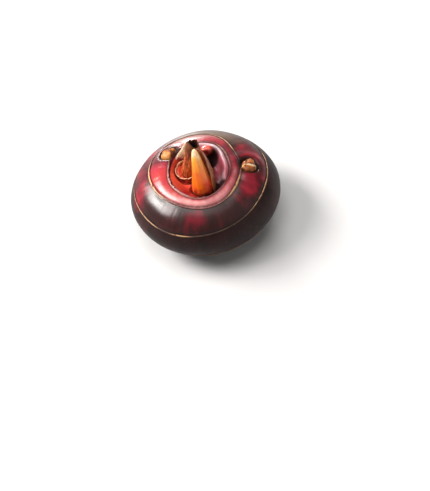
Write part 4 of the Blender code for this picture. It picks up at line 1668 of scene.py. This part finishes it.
scar_finish = Finish("withered_scar", 0.85)
crumbs = scar_finish.noise(scar_finish.place(), 1300, 5.0, 0.7)
scar_finish.colour(
    scar_finish.ramp(
        crumbs,
        (
            (0.32, (0.012, 0.006, 0.004)),
            (0.50, (0.085, 0.042, 0.020)),
            (0.70, (0.26, 0.16, 0.08)),
        ),
    )
)
scar_finish.normal(scar_finish.bump(crumbs, 0.3 * MM, 0.9))
scar_finish.on(stolon_scar)

# %% [markdown]
# ## The floor and the light
# The corm stands on a plain white floor in soft studio light. A glossy dark thing shows its
# lights as highlights, so each light stands where the photograph has one: two windows at the
# left, a low one behind, a lamp overhead and a weak fill at the right. The room is white at
# eye level. Above that it gets dimmer upward, and dimmer on every side but the back, so that
# the rims shine and the dark skin stays dark. The camera itself sees plain white behind.

# %% Floor and light
FLOOR_SIZE = 6.0
FLOOR_DROP = 0.02 * MM
FLOOR_WHITE = (0.58, 0.585, 0.595)
BACKDROP_WHITE = (1, 1, 1)
CORM_MIDDLE = Vector((0, 0, EQUATOR_HEIGHT))
ROOM_LIGHT = ((0.0, 1.0), (0.03, 0.86), (0.12, 0.52), (0.34, 0.30), (1.0, 0.34))
LIT_SIDE = 108 * DEGREE
LIT_SIDE_FADE = (0.62, 0.97)
DARK_SIDE = 0.36
HORIZON_FADE = (0.03, 0.12)
LIGHT_DISTANCE = 0.5
WINDOW_TINT = (1.0, 0.965, 0.93)

let_go()
bpy.ops.mesh.primitive_plane_add(size=FLOOR_SIZE, location=(0, 0, -FLOOR_DROP))
floor = bpy.context.object
floor.name = "floor"
set_down(floor)
floor_finish = Finish("pale_floor", 0.9, Specular_IOR_Level=0.1)
floor_finish.shader.inputs["Base Color"].default_value = (*FLOOR_WHITE, 1)
floor_finish.on(floor)

world = bpy.data.worlds.new("pale_room")
bpy.context.scene.world = world
world.use_nodes = True
room = world.node_tree
direction = room.nodes.new("ShaderNodeTexCoord")
rise_of_ray = room.nodes.new("ShaderNodeSeparateXYZ")
walls = room.nodes.new("ShaderNodeValToRGB")
room.links.new(direction.outputs["Generated"], rise_of_ray.inputs[0])
room.links.new(rise_of_ray.outputs["Z"], walls.inputs["Fac"])

towards_light = room.nodes.new("ShaderNodeVectorMath")
towards_light.operation = "DOT_PRODUCT"
towards_light.inputs[1].default_value = level_way(LIT_SIDE)
room.links.new(direction.outputs["Generated"], towards_light.inputs[0])


def room_range(value, low, high, out_low, out_high):
    """Moves a value of the room from low..high to out_low..out_high, with soft ends."""
    made = room.nodes.new("ShaderNodeMapRange")
    made.interpolation_type = "SMOOTHSTEP"
    for socket, number in zip(RANGE_SOCKETS, (low, high, out_low, out_high)):
        made.inputs[socket].default_value = number
    room.links.new(value, made.inputs["Value"])
    return made.outputs["Result"]


lit_side = room_range(towards_light.outputs["Value"], *LIT_SIDE_FADE, DARK_SIDE, 1.0)
above_horizon = room_range(rise_of_ray.outputs["Z"], *HORIZON_FADE, 0.0, 1.0)
dimmed_walls = room.nodes.new("ShaderNodeMix")
dimmed_walls.data_type = "RGBA"
dimmed_walls.blend_type = "MULTIPLY"
room.links.new(above_horizon, dimmed_walls.inputs[MIX_FACTOR])
room.links.new(walls.outputs["Color"], dimmed_walls.inputs[MIX_A])
room.links.new(lit_side, dimmed_walls.inputs[MIX_B])
backdrop = room.nodes.new("ShaderNodeMix")
backdrop.data_type = "RGBA"
backdrop.inputs[MIX_B].default_value = (*BACKDROP_WHITE, 1)
seen_by_camera = room.nodes.new("ShaderNodeLightPath").outputs["Is Camera Ray"]
room.links.new(seen_by_camera, backdrop.inputs[MIX_FACTOR])
room.links.new(dimmed_walls.outputs[MIX_COLOUR], backdrop.inputs[MIX_A])
room.links.new(backdrop.outputs[MIX_COLOUR], room.nodes["Background"].inputs["Color"])
while len(walls.color_ramp.elements) < len(ROOM_LIGHT):
    walls.color_ramp.elements.new(0.5)
for element, (rise, brightness) in zip(walls.color_ramp.elements, ROOM_LIGHT):
    element.position = rise
    element.color = (brightness, brightness, brightness, 1)


def soft_sun(name, turn, rise, softness, strength):
    """A soft round light, far away, in that direction from the corm."""
    light = bpy.data.lights.new(name, "SUN")
    light.angle = softness * DEGREE
    light.energy = strength
    light.color = WINDOW_TINT
    holder = bpy.data.objects.new(name, light)
    bpy.context.scene.collection.objects.link(holder)
    turn, rise = turn * DEGREE, rise * DEGREE
    way = Vector((math.cos(rise) * math.cos(turn), math.cos(rise) * math.sin(turn), math.sin(rise)))
    holder.location = CORM_MIDDLE + way * LIGHT_DISTANCE
    holder.rotation_euler = way.to_track_quat("Z", "Y").to_euler()


soft_sun("left_window", 149, 36, 25, 2.8)
soft_sun("high_window", 168, 48, 27, 2.6)
soft_sun("back_window", 98, 8, 13, 2.9)
soft_sun("ceiling_lamp", 90, 87, 42, 1.75)
soft_sun("right_fill", -40, 30, 50, 0.42)
print("placed the floor, the room's light and five soft lights")

# %% [markdown]
# ## The camera
# The photograph looks down on the corm from the front, and leans: the corm's axis tips to the
# left. The camera keeps the photograph's frame, so the corm stands where it stood there, a
# little above and left of the middle.

# %% Camera
PHOTO_WIDTH, PHOTO_HEIGHT = 430, 491
CORM_PIXEL = (205.5, 192.1)
PIXELS_PER_MM = 3.66
CAMERA_HEIGHT_ANGLE = 51 * DEGREE
CAMERA_ROLL = 11.5 * DEGREE
LENS = 90.0
SENSOR = 36.0
NEAREST_SEEN = 0.01

pixels_of_lens = LENS / SENSOR * PHOTO_HEIGHT
distance = pixels_of_lens / PIXELS_PER_MM * MM
forward = Vector((0, math.cos(CAMERA_HEIGHT_ANGLE), -math.sin(CAMERA_HEIGHT_ANGLE)))
level_up = Vector((0, math.sin(CAMERA_HEIGHT_ANGLE), math.cos(CAMERA_HEIGHT_ANGLE)))
level_right = Vector((1, 0, 0))
right = level_right * math.cos(CAMERA_ROLL) - level_up * math.sin(CAMERA_ROLL)
up = level_right * math.sin(CAMERA_ROLL) + level_up * math.cos(CAMERA_ROLL)
stand = CORM_MIDDLE - forward * distance

aside = (CORM_PIXEL[0] - PHOTO_WIDTH / 2) / pixels_of_lens
above = (PHOTO_HEIGHT / 2 - CORM_PIXEL[1]) / pixels_of_lens
look = (forward - right * aside - up * above).normalized()
side = look.cross(up).normalized()
top = side.cross(look)

camera = bpy.data.cameras.new("camera")
camera.lens = LENS
camera.sensor_width = SENSOR
camera.clip_start = NEAREST_SEEN
holder = bpy.data.objects.new("camera", camera)
bpy.context.scene.collection.objects.link(holder)
holder.matrix_world = Matrix(
    (
        (side.x, top.x, -look.x, stand.x),
        (side.y, top.y, -look.y, stand.y),
        (side.z, top.z, -look.z, stand.z),
        (0, 0, 0, 1),
    )
)
bpy.context.scene.camera = holder
bpy.context.scene.view_settings.view_transform = "Standard"
print("the camera stands", round(distance / MM), "mm away")
